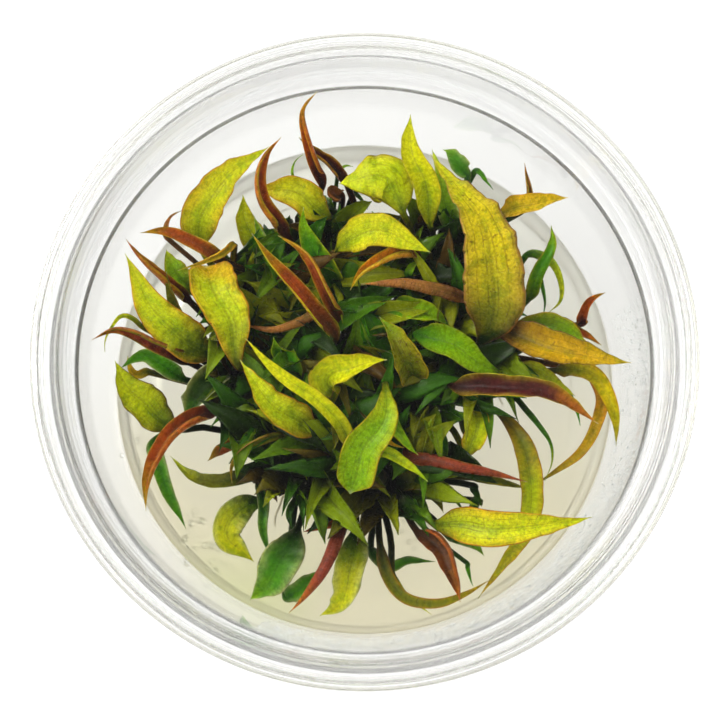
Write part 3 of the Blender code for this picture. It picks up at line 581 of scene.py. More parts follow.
def grow_leaves(places):
    """Every main leaf at its place in the photograph, its stalk on the side of the crown that it leans to."""
    leaves = []
    for plant, place in places.items():
        own = [spec for spec in LEAVES if spec[0] == plant]
        starts = np.array([from_photo(*spec[-1][0]) - place for spec in own])
        angles = stalk_angles(np.arctan2(starts[:, 1], starts[:, 0]))
        for i, (spec, angle) in enumerate(zip(own, angles)):
            leaves.append(Leaf(f"{plant}_leaf_{i + 1}", place, angle, spec))
    return leaves


def grow_small_leaves(places):
    """The smaller leaves of the table, each with its stalk on the side of the crown that it leans to."""
    leaves = []
    for plant, place in places.items():
        own = [spec for spec in SMALL_LEAVES if spec[0] == plant]
        for i, spec in enumerate(own):
            start = from_photo(*spec[-1][0]) - place
            leaves.append(Leaf(f"{plant}_small_leaf_{i + 1}", place, math.atan2(start[1], start[0]), spec))
    return leaves


def grow_young_leaves(places):
    """The lower leaves of each plant and of its offsets, in golden-angle turns, kept within the clump."""
    tufts = [(plant, place, YOUNG_LEAVES, PLANT_RING) for plant, place in places.items()]
    tufts += [(plant, from_photo(*pixel, GEL_TOP), TUFT_LEAVES, TUFT_RING) for plant, pixel in TUFTS]
    leaves = []
    for plant, place, count, start in tufts:
        first = RANDOM.uniform(0.0, 2 * math.pi)
        for i in range(count):
            angle = first + i * GOLDEN_ANGLE
            blade = young_blade(place, angle, start)
            shape, form = YOUNG_SHAPES[i % len(YOUNG_SHAPES)], YOUNG_FORMS[i % len(YOUNG_FORMS)]
            width = RANDOM.uniform(*YOUNG_WIDTH)
            # Young leaves share one material, so they have no colours and marks of their own
            spec = (plant, shape, width, YOUNG_FOLD, "", "", form, None)
            leaf = Leaf(f"{plant}_young_leaf_{i + 1}", place, angle, spec, blade)
            leaf.root[2] = GEL_TOP - SHEATH_DEPTH
            leaves.append(leaf)
    return leaves


def young_blade(place, angle, start):
    """A blade that rises from near its plant and arches outwards, but not out of the clump."""
    middle = from_photo(*CLUMP, SHALLOW)
    out = np.array([math.cos(angle), math.sin(angle), 0.0])
    length = RANDOM.uniform(*YOUNG_LENGTH)
    reach = length * RANDOM.uniform(*YOUNG_REACH)
    base = place + out * start + np.array([0.0, 0.0, RANDOM.uniform(*YOUNG_START)])
    beyond = np.linalg.norm((base + out * reach - middle)[:2]) - YOUNG_RADIUS
    reach = max(reach - max(beyond, 0.0), SHORTEST_REACH)
    rise = min(math.sqrt(max(length**2 - reach**2, 4.0)), YOUNG_TOP - base[2])
    blade = []
    for share in (0.0, 0.35, 0.7, 1.0):
        lift = rise * math.sin(share * 2.1) / math.sin(1.57)
        blade.append(base + out * reach * share + np.array([0.0, 0.0, lift]))
    return blade


def sample_weights(steps, fineness):
    """Rows that turn a leaf's steps into evenly spread samples, as many between steps as fineness says."""
    along = np.linspace(0.0, steps - 1, fineness * (steps - 1) + 1)
    low = np.minimum(along.astype(int), steps - 2)
    part = along - low
    rows = np.zeros((len(along), steps))
    rows[np.arange(len(along)), low] = 1.0 - part
    rows[np.arange(len(along)), low + 1] += part
    return rows


def across_weights(count):
    """Rows that turn the left edge, midrib and right edge into samples across the leaf."""
    across = np.linspace(-1.0, 1.0, count)
    return np.stack([np.maximum(-across, 0.0), 1.0 - np.abs(across), np.maximum(across, 0.0)], 1)


def make_room(leaves, places, rounds, fineness, across_count, settled=0):
    """The leaves give way to one another, as leaves that grow in a crowd do.

    Samples over each leaf push those of its neighbours away: blades up or down, whichever of the two
    was above stays above, and stalks sideways. Each leaf passes a push on along its own length. The first
    leaves, as many as settled says, stay where they are.
    """
    steps = len(leaves[0].line)
    along, over = sample_weights(steps, fineness), across_weights(across_count)
    count = len(along) * len(over)
    owner = np.repeat(np.arange(len(leaves)), count)
    blade_part = along @ leaves[0].on_blade.astype(float) > 0.5
    blade = np.tile(np.repeat(blade_part, len(over)), len(leaves))
    share = np.repeat(along, len(over), axis=0)
    above = rank_leaves(leaves, along, over)
    pairs = None
    for turn in range(rounds):
        points, normals, centres = spread(leaves, along, over)
        if turn % RESORT == 0:
            pairs = near_pairs(points, owner, settled)
        push = leaf_push(points, normals, centres, owner, blade, above, pairs)
        push += keep_inside(points, places)
        move_leaves(leaves, push, share, count, settled)


def spread(leaves, along, over):
    points, normals, centres = [], [], []
    for leaf in leaves:
        rows = leaf.rows()
        _, face = leaf.frames()
        sheet = np.einsum("as,smk->amk", along, rows)
        points.append(np.einsum("cm,amk->ack", over, sheet).reshape(-1, 3))
        faces = along @ face
        faces /= np.linalg.norm(faces, axis=1)[:, None]
        faces *= np.where(faces[:, 2] < 0, -1.0, 1.0)[:, None]
        normals.append(np.repeat(faces, len(over), axis=0))
        centres.append(np.repeat(along @ leaf.line, len(over), axis=0))
    return np.concatenate(points), np.concatenate(normals), np.concatenate(centres)


def rank_leaves(leaves, along, over):
    """above[i, j] is 1 where leaf i lies over leaf j at the places where they cross, and -1 where under."""
    points, _, _ = spread(leaves, along, over)
    count = len(points) // len(leaves)
    above = np.zeros((len(leaves), len(leaves)))
    for i in range(len(leaves)):
        mine = points[i * count : (i + 1) * count]
        for j in range(i):
            other = points[j * count : (j + 1) * count]
            flat = mine[:, None, :2] - other[None, :, :2]
            close = (flat**2).sum(2) < REACH**2
            if close.any():
                rise = (mine[:, None, 2] - other[None, :, 2])[close].mean()
            else:
                rise = mine[:, 2].mean() - other[:, 2].mean()
            above[i, j] = 1.0 if rise >= 0 else -1.0
            above[j, i] = -above[i, j]
    return above


def near_pairs(points, owner, settled):
    tree = KDTree(len(points))
    for index, point in enumerate(points):
        tree.insert(point, index)
    tree.balance()
    pairs = []
    for index in np.flatnonzero(owner >= settled):
        for _, other, _ in tree.find_range(points[index], LOOK):
            if owner[other] != owner[index] and (other > index or owner[other] < settled):
                pairs.append((index, other))
    return np.array(pairs).reshape(-1, 2)


def leaf_push(points, normals, centres, owner, blade, above, pairs):
    """How far each sample has to go, averaged over the samples that it is too near to."""
    one, two = pairs[:, 0], pairs[:, 1]
    between = points[one] - points[two]
    both = blade[one] & blade[two]
    facing = normals[one] + normals[two]
    facing /= np.maximum(np.linalg.norm(facing, axis=1), 1e-9)[:, None]
    facing *= above[owner[one], owner[two]][:, None]
    sideways = (centres[one] - centres[two]) * np.array([1.0, 1.0, 0.0])
    sideways /= np.maximum(np.linalg.norm(sideways, axis=1), 1e-9)[:, None]
    way = np.where(both[:, None], facing, sideways)
    apart = (between * way).sum(1)
    beside = np.linalg.norm(between - apart[:, None] * way, axis=1)
    short = np.where((beside < REACH) & (apart < CLEAR), CLEAR - apart, 0.0)
    short = np.minimum(short, LONGEST_PUSH)
    push = np.zeros_like(points)
    hits = np.zeros(len(points))
    for index, sign in ((one, 0.5), (two, -0.5)):
        for k in range(3):
            push[:, k] += np.bincount(index, sign * short * way[:, k], len(points))
        hits += np.bincount(index, (short > 0).astype(float), len(points))
    return push / np.maximum(hits, 1.0)[:, None]


def keep_inside(points, places):
    """Pushes away from the gel, the panel, the wall and the crowns."""
    push = np.zeros_like(points)
    push[:, 2] += np.maximum(LOWEST - points[:, 2], 0.0) - np.maximum(points[:, 2] - HIGHEST, 0.0)
    radius = np.linalg.norm(points[:, :2], axis=1)
    over = np.maximum(radius - (wall_radius(points[:, 2]) - WALL_ROOM), 0.0)
    push[:, :2] -= points[:, :2] / np.maximum(radius, 1e-9)[:, None] * over[:, None]
    for place in places.values():
        away = points[:, :2] - np.array(place[:2])
        far = np.linalg.norm(away, axis=1)
        near = np.maximum(CROWN_RADIUS + CROWN_ROOM - far, 0.0)
        near[points[:, 2] > CROWN_TOP + CROWN_ROOM] = 0.0
        push[:, :2] += away / np.maximum(far, 1e-9)[:, None] * near[:, None]
    return push


def move_leaves(leaves, push, share, count, settled):
    for i in range(settled, len(leaves)):
        leaf = leaves[i]
        mine = slice(i * count, (i + 1) * count)
        pushed = np.linalg.norm(push[mine], axis=1) > 1e-6
        weight = share[pushed].sum(0)
        step = share.T @ push[mine] / np.maximum(weight, FEWEST_SAMPLES)[:, None]
        for _ in range(2):
            padded = np.concatenate([step[:1], step, step[-1:]])
            step = 0.25 * padded[:-2] + 0.5 * padded[1:-1] + 0.25 * padded[2:]
        step[0] = 0.0
        step[1] *= 0.5
        leaf.line = leaf.line + EASE * step


def new_tree(name):
    """A material with its shader, and its node tree."""
    made = bpy.data.materials.new(name)
    made.use_nodes = True
    return made, made.node_tree, made.node_tree.nodes["Principled BSDF"]


def node(tree, kind, *inputs, **settings):
    """A shader node with its settings, its inputs linked where they are sockets and set where they aren't."""
    made = tree.nodes.new("ShaderNode" + kind)
    for name, value in settings.items():
        setattr(made, name, value)
    for socket, value in zip(made.inputs, inputs):
        put(tree, socket, value)
    return made


def put(tree, socket, value):
    if isinstance(value, bpy.types.NodeSocket):
        tree.links.new(value, socket)
    elif value is not None:
        socket.default_value = value


def set_inputs(shader, values):
    """Values that are the same all over a surface, set on the shader's own sockets."""
    for name, value in values.items():
        shader.inputs[name].default_value = value


def maths(tree, operation, *inputs):
    return node(tree, "Math", *inputs, operation=operation).outputs[0]


def product(tree, one, two):
    return maths(tree, "MULTIPLY", one, two)


def scaled(tree, value, factor, added):
    return maths(tree, "MULTIPLY_ADD", value, factor, added)


def step_up(tree, value, low, high):
    """0 below low, 1 above high, and smooth between."""
    return node(tree, "MapRange", value, low, high, 0.0, 1.0, interpolation_type="SMOOTHSTEP").outputs[0]


def step_down(tree, value, low, high):
    """1 below low, 0 above high, and smooth between."""
    return inverse(tree, step_up(tree, value, low, high))


def inverse(tree, value):
    return maths(tree, "SUBTRACT", 1.0, value)


def mix(tree, factor, one, two, blend="MIX"):
    one = (*one, 1.0) if isinstance(one, tuple) else one
    two = (*two, 1.0) if isinstance(two, tuple) else two
    return node(tree, "MixRGB", factor, one, two, blend_type=blend).outputs[0]


def tinted(tree, colour, tint):
    return mix(tree, 1.0, colour, tint, "MULTIPLY")


def object_place(tree):
    return node(tree, "TexCoord").outputs["Object"]


def flattened(tree, place):
    """A place's distance and way from the cup's axis, without its height."""
    return node(tree, "VectorMath", place, (1.0, 1.0, 0.0), operation="MULTIPLY").outputs[0]


def noise(tree, vector, scale, detail=2.0, rough=0.5):
    made = node(tree, "TexNoise", vector)
    set_inputs(made, {"Scale": scale, "Detail": detail, "Roughness": rough})
    return made.outputs["Fac"]


def ramp(tree, value, stops):
    made = node(tree, "ValToRGB", value)
    elements = made.color_ramp.elements
    while len(elements) < len(stops):
        elements.new(0.5)
    for element, (place, colour) in zip(elements, stops):
        element.position = place
        element.color = (*colour, 1.0)
    return made.outputs["Color"]


def bump(tree, height, distance, strength=1.0):
    made = node(tree, "Bump")
    set_inputs(made, {"Strength": strength, "Distance": distance})
    put(tree, made.inputs["Height"], height)
    return made.outputs["Normal"]


def times(tree, colour, factor):
    """A colour made darker or lighter by a factor."""
    grey = node(tree, "CombineXYZ", factor, factor, factor).outputs[0]
    return tinted(tree, colour, grey)


def clump_shade(tree, shallow):
    """Painted shade: darkest low down in the middle of the clump, where the leaves above would shade it."""
    place = object_place(tree)
    _, _, height = node(tree, "SeparateXYZ", place).outputs
    flat = flattened(tree, place)
    x, y, _ = from_photo(*CLUMP, SHALLOW)
    out = node(tree, "VectorMath", flat, (x * MM, y * MM, 0.0), operation="DISTANCE").outputs["Value"]
    high = step_up(tree, height, DEEP * MM, shallow * MM)
    apart = step_up(tree, out, CORE_RADIUS * MM, OPEN_RADIUS * MM)
    light = maths(tree, "MAXIMUM", high, apart)
    return scaled(tree, light, 1.0 - DARKEST, DARKEST)


def leaf_coordinates(tree, seed):
    """Place across the blade, along it in millimetres, its share of the blade, and the flattened blade."""
    place = node(tree, "Attribute", attribute_name="leaf_place").outputs["Vector"]
    flat = node(tree, "Attribute", attribute_name="leaf_flat").outputs["Vector"]
    flat = node(tree, "VectorMath", flat, (0.0, 0.0, seed * 7.3), operation="ADD").outputs[0]
    across, along, share = node(tree, "SeparateXYZ", place).outputs
    return across, along, share, flat


def vein_lines(tree, across, along, flat, cloud):
    """Long veins that run with the margin, the short cross veins between them, and the midrib."""
    bent = maths(tree, "ADD", product(tree, across, 3.0), product(tree, cloud, 0.5))
    long_vein = maths(tree, "PINGPONG", maths(tree, "ADD", bent, 0.25), 0.5)
    long_vein = step_down(tree, long_vein, 0.02, 0.14)
    wide = maths(tree, "ABSOLUTE", across)
    slant = scaled(tree, wide, -0.7, product(tree, along, 0.62))
    slant = maths(tree, "ADD", slant, product(tree, noise(tree, flat, 0.9, 2.0), 1.2))
    cross = step_down(tree, maths(tree, "PINGPONG", slant, 0.5), 0.03, 0.16)
    broken = step_up(tree, noise(tree, flat, 1.1, 2.0), 0.48, 0.62)
    return long_vein, product(tree, cross, broken), step_down(tree, wide, 0.02, 0.09)


def finish_leaf(tree, shader, colour, grain, glow):
    """The wet, slightly uneven skin of a leaf, and the light that passes through it."""
    put(tree, shader.inputs["Base Color"], colour)
    put(tree, shader.inputs["Roughness"], scaled(tree, grain, 0.3, 0.14))
    put(tree, shader.inputs["Normal"], bump(tree, grain, 0.14 * MM))
    set_inputs(shader, {
        "Specular IOR Level": 0.06,
        "Subsurface Weight": glow,
        "Subsurface Radius": (1.0, 1.0, 0.2),
        "Subsurface Scale": 0.6 * MM,
        "Coat Weight": 0.08,
        "Coat Roughness": 0.06,
    })


def leaf_material(name, colours, marks, seed):
    """Leaf tissue: colours from base to tip, a coloured margin, veins and speckles, with painted shade and
    painted highlights.
    """
    base, middle, tip, margin = (COLOURS[colour] for colour in colours)
    long_strength, cross_strength, speckle_strength, mottling = MARKS[marks]
    made, tree, shader = new_tree(name)
    across, along, share, flat = leaf_coordinates(tree, seed)
    wide = maths(tree, "ABSOLUTE", across)
    cloud = noise(tree, flat, 0.22, 3.0)
    grain = noise(tree, flat, 1.7, 3.0, 0.65)

    along_blade = maths(tree, "ADD", share, scaled(tree, cloud, 0.5, -0.25))
    colour = ramp(tree, along_blade, [(0.05, base), (0.42, middle), (0.62, middle), (0.98, tip)])
    # The margin colour spread softly in from the edge: the leaf's own pigment, or a painted highlight where
    # that colour is the pale cream
    halo = step_up(tree, maths(tree, "ADD", wide, scaled(tree, cloud, 0.8, -0.4)), 0.35, 1.1)
    colour = mix(tree, product(tree, halo, 0.4), colour, margin)
    colour = times(tree, colour, scaled(tree, step_up(tree, grain, 0.3, 0.7), 0.5, 0.86))
    dapples = step_up(tree, noise(tree, flat, 0.6, 2.0), 0.5, 0.64)
    colour = mix(tree, product(tree, dapples, DAPPLING), colour, tinted(tree, colour, DAPPLE_AND_SHADE_TINT))
    # Painted shade in the valley along the midrib, where the folded halves would shade it
    valley_shade = product(tree, step_down(tree, wide, 0.0, 0.55), step_down(tree, share, 0.1, 0.75))
    colour = mix(tree, product(tree, valley_shade, VALLEY_SHADE), colour, tinted(tree, colour, DAPPLE_AND_SHADE_TINT))
    if mottling:
        patch = step_up(tree, noise(tree, flat, 0.9, 3.0), 0.42, 0.66)
        near_base = product(tree, step_down(tree, share, 0.1, 0.55), 0.75)
        colour = mix(tree, product(tree, patch, near_base), colour, COLOURS["dark"])

    long_vein, cross_vein, midrib = vein_lines(tree, across, along, flat, cloud)
    across_veins = product(tree, cross_vein, cross_strength)
    veins = maths(tree, "MAXIMUM", product(tree, long_vein, long_strength), across_veins)
    veins = product(tree, veins, step_up(tree, noise(tree, flat, 0.4, 2.0), 0.25, 0.7))
    veins = maths(tree, "MAXIMUM", veins, product(tree, midrib, 0.3))
    colour = mix(tree, veins, colour, tinted(tree, colour, (0.28, 0.20, 0.18)))

    spots = step_up(tree, noise(tree, flat, 2.6, 3.0, 0.7), 0.56, 0.66)
    colour = mix(tree, product(tree, spots, speckle_strength), colour, COLOURS["maroon"])
    # A thin line of the margin colour at the edge: the leaf's own pigment, or a painted highlight where that
    # colour is the pale cream
    edge = maths(tree, "ADD", wide, scaled(tree, grain, 0.2, -0.1))
    colour = mix(tree, product(tree, step_up(tree, edge, 0.87, 0.98), 0.9), colour, margin)
    # Painted highlight: a pale cream point at the tip
    point = step_up(tree, share, 0.95, 0.99)
    colour = mix(tree, product(tree, point, 0.6), colour, COLOURS["cream"])
    # Painted shade: the blade darkens towards its stalk, down in the shade of the leaves above
    rising = step_up(tree, share, -0.12, 0.34)
    colour = times(tree, colour, scaled(tree, rising, 0.72, 0.28))
    colour = times(tree, colour, clump_shade(tree, SHALLOW))
    finish_leaf(tree, shader, colour, grain, 0.35)
    return made


def young_leaf_material(name):
    """The tissue of the lower leaves: from nearly black green through lime to brown, one tint a leaf, with
    painted shade towards their stalks and in the clump's middle.
    """
    made, tree, shader = new_tree(name)
    across, along, share, flat = leaf_coordinates(tree, 3.0)
    tints = node(tree, "Attribute", attribute_name="leaf_tint").outputs["Vector"]
    tint, _, _ = node(tree, "SeparateXYZ", tints).outputs
    cloud = noise(tree, flat, 0.3, 3.0)
    grain = noise(tree, flat, 1.6, 4.0, 0.6)
    colour = ramp(tree, tint, [
        (0.0, COLOURS["dark"]),
        (0.2, COLOURS["green"]),
        (0.5, COLOURS["leaf"]),
        (0.68, COLOURS["lime"]),
        (0.84, COLOURS["olive"]),
        (1.0, COLOURS["brown"]),
    ])
    colour = times(tree, colour, scaled(tree, grain, 0.9, 0.55))
    long_vein, cross_vein, midrib = vein_lines(tree, across, along, flat, cloud)
    veins = maths(tree, "MAXIMUM", product(tree, long_vein, 0.3), product(tree, midrib, 0.5))
    veins = maths(tree, "MAXIMUM", veins, product(tree, cross_vein, 0.2))
    colour = mix(tree, veins, colour, tinted(tree, colour, (0.4, 0.35, 0.3)))
    # Painted shade: each young leaf darkens towards its stalk, under the leaves above
    rising = step_up(tree, share, -0.1, 0.75)
    colour = times(tree, colour, scaled(tree, rising, 0.85, 0.15))
    colour = times(tree, colour, clump_shade(tree, YOUNG_SHALLOW))
    finish_leaf(tree, shader, colour, grain, 0.0)
    return made


def plastic_material(name, frosted_from):
    """Clear moulded plastic, frosted and faintly milky in a ring, where its inner rim is textured."""
    made, tree, shader = new_tree(name)
    place = object_place(tree)
    radius = node(tree, "VectorMath", flattened(tree, place), operation="LENGTH").outputs["Value"]
    inside = step_up(tree, radius, (frosted_from - FROST_EDGE) * MM, (frosted_from + FROST_EDGE) * MM)
    outside = step_up(tree, radius, (FROSTED_TO - FROST_EDGE) * MM, (FROSTED_TO + FROST_EDGE) * MM)
    frosted = maths(tree, "SUBTRACT", inside, outside)
    dots = step_up(tree, noise(tree, place, 1300.0, 1.0), 0.45, 0.6)
    frost = product(tree, scaled(tree, dots, RIM_DOTS, RIM_FROST), frosted)
    put(tree, shader.inputs["Roughness"], maths(tree, "ADD", frost, 0.03))
    milk = product(tree, frosted, RIM_MILK)
    put(tree, shader.inputs["Transmission Weight"], inverse(tree, milk))
    set_inputs(shader, {"Base Color": (1.0, 1.0, 1.0, 1.0), "IOR": PLASTIC_IOR})
    absorber = node(tree, "VolumeAbsorption")
    set_inputs(absorber, {"Color": (*PLASTIC_TINT, 1.0), "Density": PLASTIC_DENSITY})
    tree.links.new(absorber.outputs["Volume"], tree.nodes["Material Output"].inputs["Volume"])
    return made


def gel_material():
    """Set culture gel: whitish and translucent, warmer towards the front, partly its own tone and partly
    painted shade and reflection of the plants, greener at the front left.
    """
    made, tree, shader = new_tree("culture gel")
    place = object_place(tree)
    cloud = noise(tree, place, 60.0, 1.0)
    x, y, height = node(tree, "SeparateXYZ", place).outputs
    # Warmer towards the front: partly the gel's own tone, partly painted shade and reflection of the plants
    front = step_down(tree, scaled(tree, cloud, 0.03, y), -0.020, 0.040)
    colour = mix(tree, front, (0.97, 0.96, 0.87), (0.98, 0.92, 0.68))
    corner = maths(tree, "MAXIMUM", x, maths(tree, "ADD", y, 0.022))
    left = step_down(tree, corner, -0.022, -0.004)
    colour = mix(tree, product(tree, left, 0.8), colour, (0.90, 0.92, 0.52))
    put(tree, shader.inputs["Base Color"], colour)
    surface = step_up(tree, height, (GEL_TOP - 0.9) * MM, (GEL_TOP - 0.3) * MM)
    put(tree, shader.inputs["Roughness"], scaled(tree, surface, 0.38, 0.02))
    set_inputs(shader, {"IOR": GEL_IOR, "Transmission Weight": 0.9})
    return made


def water_material():
    made, _, shader = new_tree("condensed water")
    set_inputs(shader, {
        "Base Color": (0.97, 0.98, 0.98, 1.0),
        "Roughness": 0.0,
        "IOR": WATER_IOR,
        "Transmission Weight": 1.0,
    })
    return made


def crown_material():
    """The rhizome: dark green-brown, with rings where older leaves stood."""
    made, tree, shader = new_tree("crown")
    place = object_place(tree)
    _, _, z = node(tree, "SeparateXYZ", place).outputs
    rings = maths(tree, "PINGPONG", product(tree, z, 1100.0), 0.5)
    patches = noise(tree, place, 900.0, 3.0)
    colour = ramp(tree, patches, [
        (0.3, (0.03, 0.035, 0.012)),
        (0.5, (0.09, 0.11, 0.03)),
        (0.75, (0.20, 0.15, 0.06)),
    ])
    put(tree, shader.inputs["Base Color"], colour)
    put(tree, shader.inputs["Normal"], bump(tree, maths(tree, "ADD", rings, patches), 0.2 * MM, 0.7))
    shader.inputs["Roughness"].default_value = 0.45
    return made


def root_material():
    made, tree, shader = new_tree("root")
    patches = noise(tree, object_place(tree), 500.0, 3.0)
    colour = ramp(tree, patches, [(0.3, (0.62, 0.55, 0.38)), (0.7, (0.86, 0.82, 0.68))])
    put(tree, shader.inputs["Base Color"], colour)
    put(tree, shader.inputs["Normal"], bump(tree, patches, 0.05 * MM, 0.6))
    shader.inputs["Roughness"].default_value = 0.5
    return made


def add_piece(name, points, edges, faces, finish, replaced=()):
    mesh = bpy.data.meshes.new(name)
    mesh.from_pydata(np.asarray(points, float) * MM, edges, faces)
    mesh.update()
    mesh.shade_smooth()
    made = bpy.data.objects.new(name, mesh)
    mesh.materials.append(finish)
    bpy.context.scene.collection.objects.link(made)
    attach(made, "root")
    for cad_node in replaced:
        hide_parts(cad_node)
    return made


def rounded(profile, radius, arc=5):
    """The profile with each inner corner rounded to a radius, or to what its sides leave room for."""
    profile = [np.array(point) for point in profile]
    made = [profile[0]]
    for before, corner, after in zip(profile, profile[1:], profile[2:]):
        one, two = before - corner, after - corner
        reach = min(radius, 0.45 * np.linalg.norm(one), 0.45 * np.linalg.norm(two))
        start, end = corner + unit(one) * reach, corner + unit(two) * reach
        for t in np.linspace(0.0, 1.0, arc + 1):
            made.append(start * (1 - t) ** 2 + 2 * corner * t * (1 - t) + end * t**2)
    made.append(profile[-1])
    return made


def far_side(profile, sheet):
    """The sheet's other side, with mitred corners, to the right of the way that the profile runs."""
    profile = np.array(profile)
    ways = np.diff(profile, axis=0)
    ways /= np.linalg.norm(ways, axis=1)[:, None]
    rights = np.stack([ways[:, 1], -ways[:, 0]], 1)
    before = np.concatenate([rights[:1], rights])
    after = np.concatenate([rights, rights[-1:]])
    mitre = before + after
    mitre /= (mitre * before).sum(1)[:, None]
    return profile + sheet * mitre


def turned(name, profile, finish, replaced):
    """A profile of (radius, height) points turned about the cup's axis."""
    points = [(radius, 0.0, height) for radius, height in profile]
    edges = [(i, i + 1) for i in range(len(points) - 1)]
    made = add_piece(name, points, edges, [], finish, replaced)
    screw = made.modifiers.new("Turn", "SCREW")
    screw.steps = screw.render_steps = FINE_STEPS
    screw.use_merge_vertices = True
    screw.merge_threshold = MERGE
    screw.use_smooth_shade = True


def moulded(name, profile, sheet, radius, finish, replaced):
    """A turned sheet: out along its profile, across its cut rim, and back along its far side."""
    loop = [*profile, *far_side(profile, sheet)[::-1]]
    turned(name, rounded(loop, radius), finish, replaced)


def make_cup():
    """The cup's inside from the middle of its floor to the edge of its lip."""
    profile = [
        (0.0, FLOOR_TOP),
        (FOOT_INNER - FOOT_SLOPE, FLOOR_TOP),
        (FOOT_INNER, CUP_SHEET),
        (FOOT_OUTER, CUP_SHEET),
        WALL_FOOT,
        LEDGE_LOW,
        LEDGE_HIGH,
        WALL_TOP,
        (WALL_TOP[0] + FLANGE_ROUND, FLANGE_TOP),
        (FLANGE_RADIUS, FLANGE_TOP),
        (FLANGE_RADIUS, LIP_BOTTOM),
    ]
    finish = plastic_material("cup plastic", CUP_FROSTED_FROM)
    moulded("clear_cup", profile, CUP_SHEET, CUP_CORNER, finish, ["cup"])


def make_lid():
    """The lid's top from the middle of its panel to the bottom of its skirt."""
    profile = [
        (0.0, PANEL_TOP),
        (PANEL_RADIUS, PANEL_TOP),
        (PANEL_RADIUS + LID_ROUND, PANEL_TOP + LID_ROUND),
        PLUG_TOP,
        (LID_LEDGE_RADIUS, PLUG_TOP[1]),
        (BEAD_INNER, BEAD_TOP - LID_ROUND),
        (BEAD_INNER + LID_ROUND, BEAD_TOP),
        (BEAD_OUTER, BEAD_TOP),
        (LID_RADIUS, LID_SHOULDER),
        (LID_RADIUS, SKIRT_TOP),
        (SKIRT_RADIUS, SKIRT_BOTTOM),
    ]
    finish = plastic_material("lid plastic", LID_FROSTED_FROM)
    moulded("clear_lid", profile, LID_SHEET, LID_CORNER, finish, ["lid"])


def make_gel():
    """The gel, with a meniscus where it climbs the wall."""
    rim = GEL_TOP_RADIUS
    top = [(0.0, GEL_TOP)] + [(radius, GEL_TOP) for radius in np.linspace(2.0, rim - 2.2, 22)]
    meniscus = [(rim - 1.4, GEL_TOP + 0.08), (rim - 0.7, GEL_TOP + 0.35), (rim - 0.25, GEL_TOP + 0.9)]
    rest = [
        (rim + 0.05, GEL_TOP + 1.3),
        (GEL_BOTTOM_RADIUS, GEL_BOTTOM + GEL_ROUND),
        (GEL_BOTTOM_RADIUS - GEL_ROUND, GEL_BOTTOM),
        (0.0, GEL_BOTTOM),
    ]
    turned("culture_gel", top + meniscus + rest, gel_material(), ["gel"])


def make_crown(name, place, finish):
    """A lumpy spindle that narrows at its neck."""
    points = []
    for height in np.linspace(0.0, 1.0, CROWN_MESH):
        z = CROWN_BOTTOM + (CROWN_TOP - CROWN_BOTTOM) * height
        neck = 1.1 * max(height - 0.7, 0.0) / 0.3
        radius = 1.0 + 1.5 * math.sin(min(height / 0.6, 1.0) * math.pi / 2) - neck
        for side in range(CROWN_MESH):
            angle = 2 * math.pi * side / CROWN_MESH
            far = radius * (1.0 + 0.08 * math.sin(5 * angle + 9 * height) + 0.05 * math.sin(24 * height))
            points.append((place[0] + far * math.cos(angle), place[1] + far * math.sin(angle), z))
    faces = ring_faces(CROWN_MESH, CROWN_MESH)
    add_piece(name + "_rhizome", points, [], faces, finish, [name + "_crown"])


def ring_faces(rows, sides):
    """Quads between rows of sides points each, and a face over each end."""
    faces = [tuple(range(sides))[::-1]]
    for row in range(rows - 1):
        for side in range(sides):
            after = (side + 1) % sides
            low, high = row * sides, (row + 1) * sides
            faces.append((low + side, low + after, high + after, high + side))
    last = (rows - 1) * sides
    faces.append(tuple(range(last, last + sides)))
    return faces


def shifted(faces, start):
    """The faces of one part of a joined mesh, whose points start at a number."""
    return [tuple(start + k for k in face) for face in faces]


def tube(line, radii, sides):
    """Points of a tube along a line, one radius a step."""
    across, face = line_frames(line, len(line) // 2)
    angles = 2 * math.pi * np.arange(sides) / sides
    ring = np.cos(angles)[None, :, None] * across[:, None] + np.sin(angles)[None, :, None] * face[:, None]
    return (line[:, None] + ring * radii[:, None, None]).reshape(-1, 3)


def make_roots(name, place, finish):
    """Fine pale roots that leave the crown inside the gel and wander outwards and down."""
    points, faces = [], []
    rows, sides = ROOT_MESH
    for i in range(ROOTS):
        angle = 2 * math.pi * i / ROOTS + RANDOM.uniform(-0.4, 0.4)
        position = np.array([place[0], place[1], RANDOM.uniform(*ROOT_HEIGHTS)])
        line = [position + np.array([math.cos(angle), math.sin(angle), 0.0]) * 0.9]
        drop = RANDOM.uniform(-0.30, -0.12)
        for _ in range(ROOT_STEPS - 1):
            angle += RANDOM.uniform(-0.35, 0.35)
            step = np.array([math.cos(angle), math.sin(angle), drop]) * RANDOM.uniform(0.6, 1.1)
            after = line[-1] + step
            after[2] = max(after[2], GEL_BOTTOM + ROOT_FLOOR_GAP)
            after[:2] *= min(1.0, (GEL_BOTTOM_RADIUS - ROOT_WALL_GAP) / np.linalg.norm(after[:2]))
            line.append(after)
        line = smooth_curve(np.array(line), rows)
        faces.extend(shifted(ring_faces(rows, sides), len(points)))
        points.extend(tube(line, np.linspace(*ROOT_RADII, rows), sides))
    add_piece(name + "_roots", points, [], faces, finish)


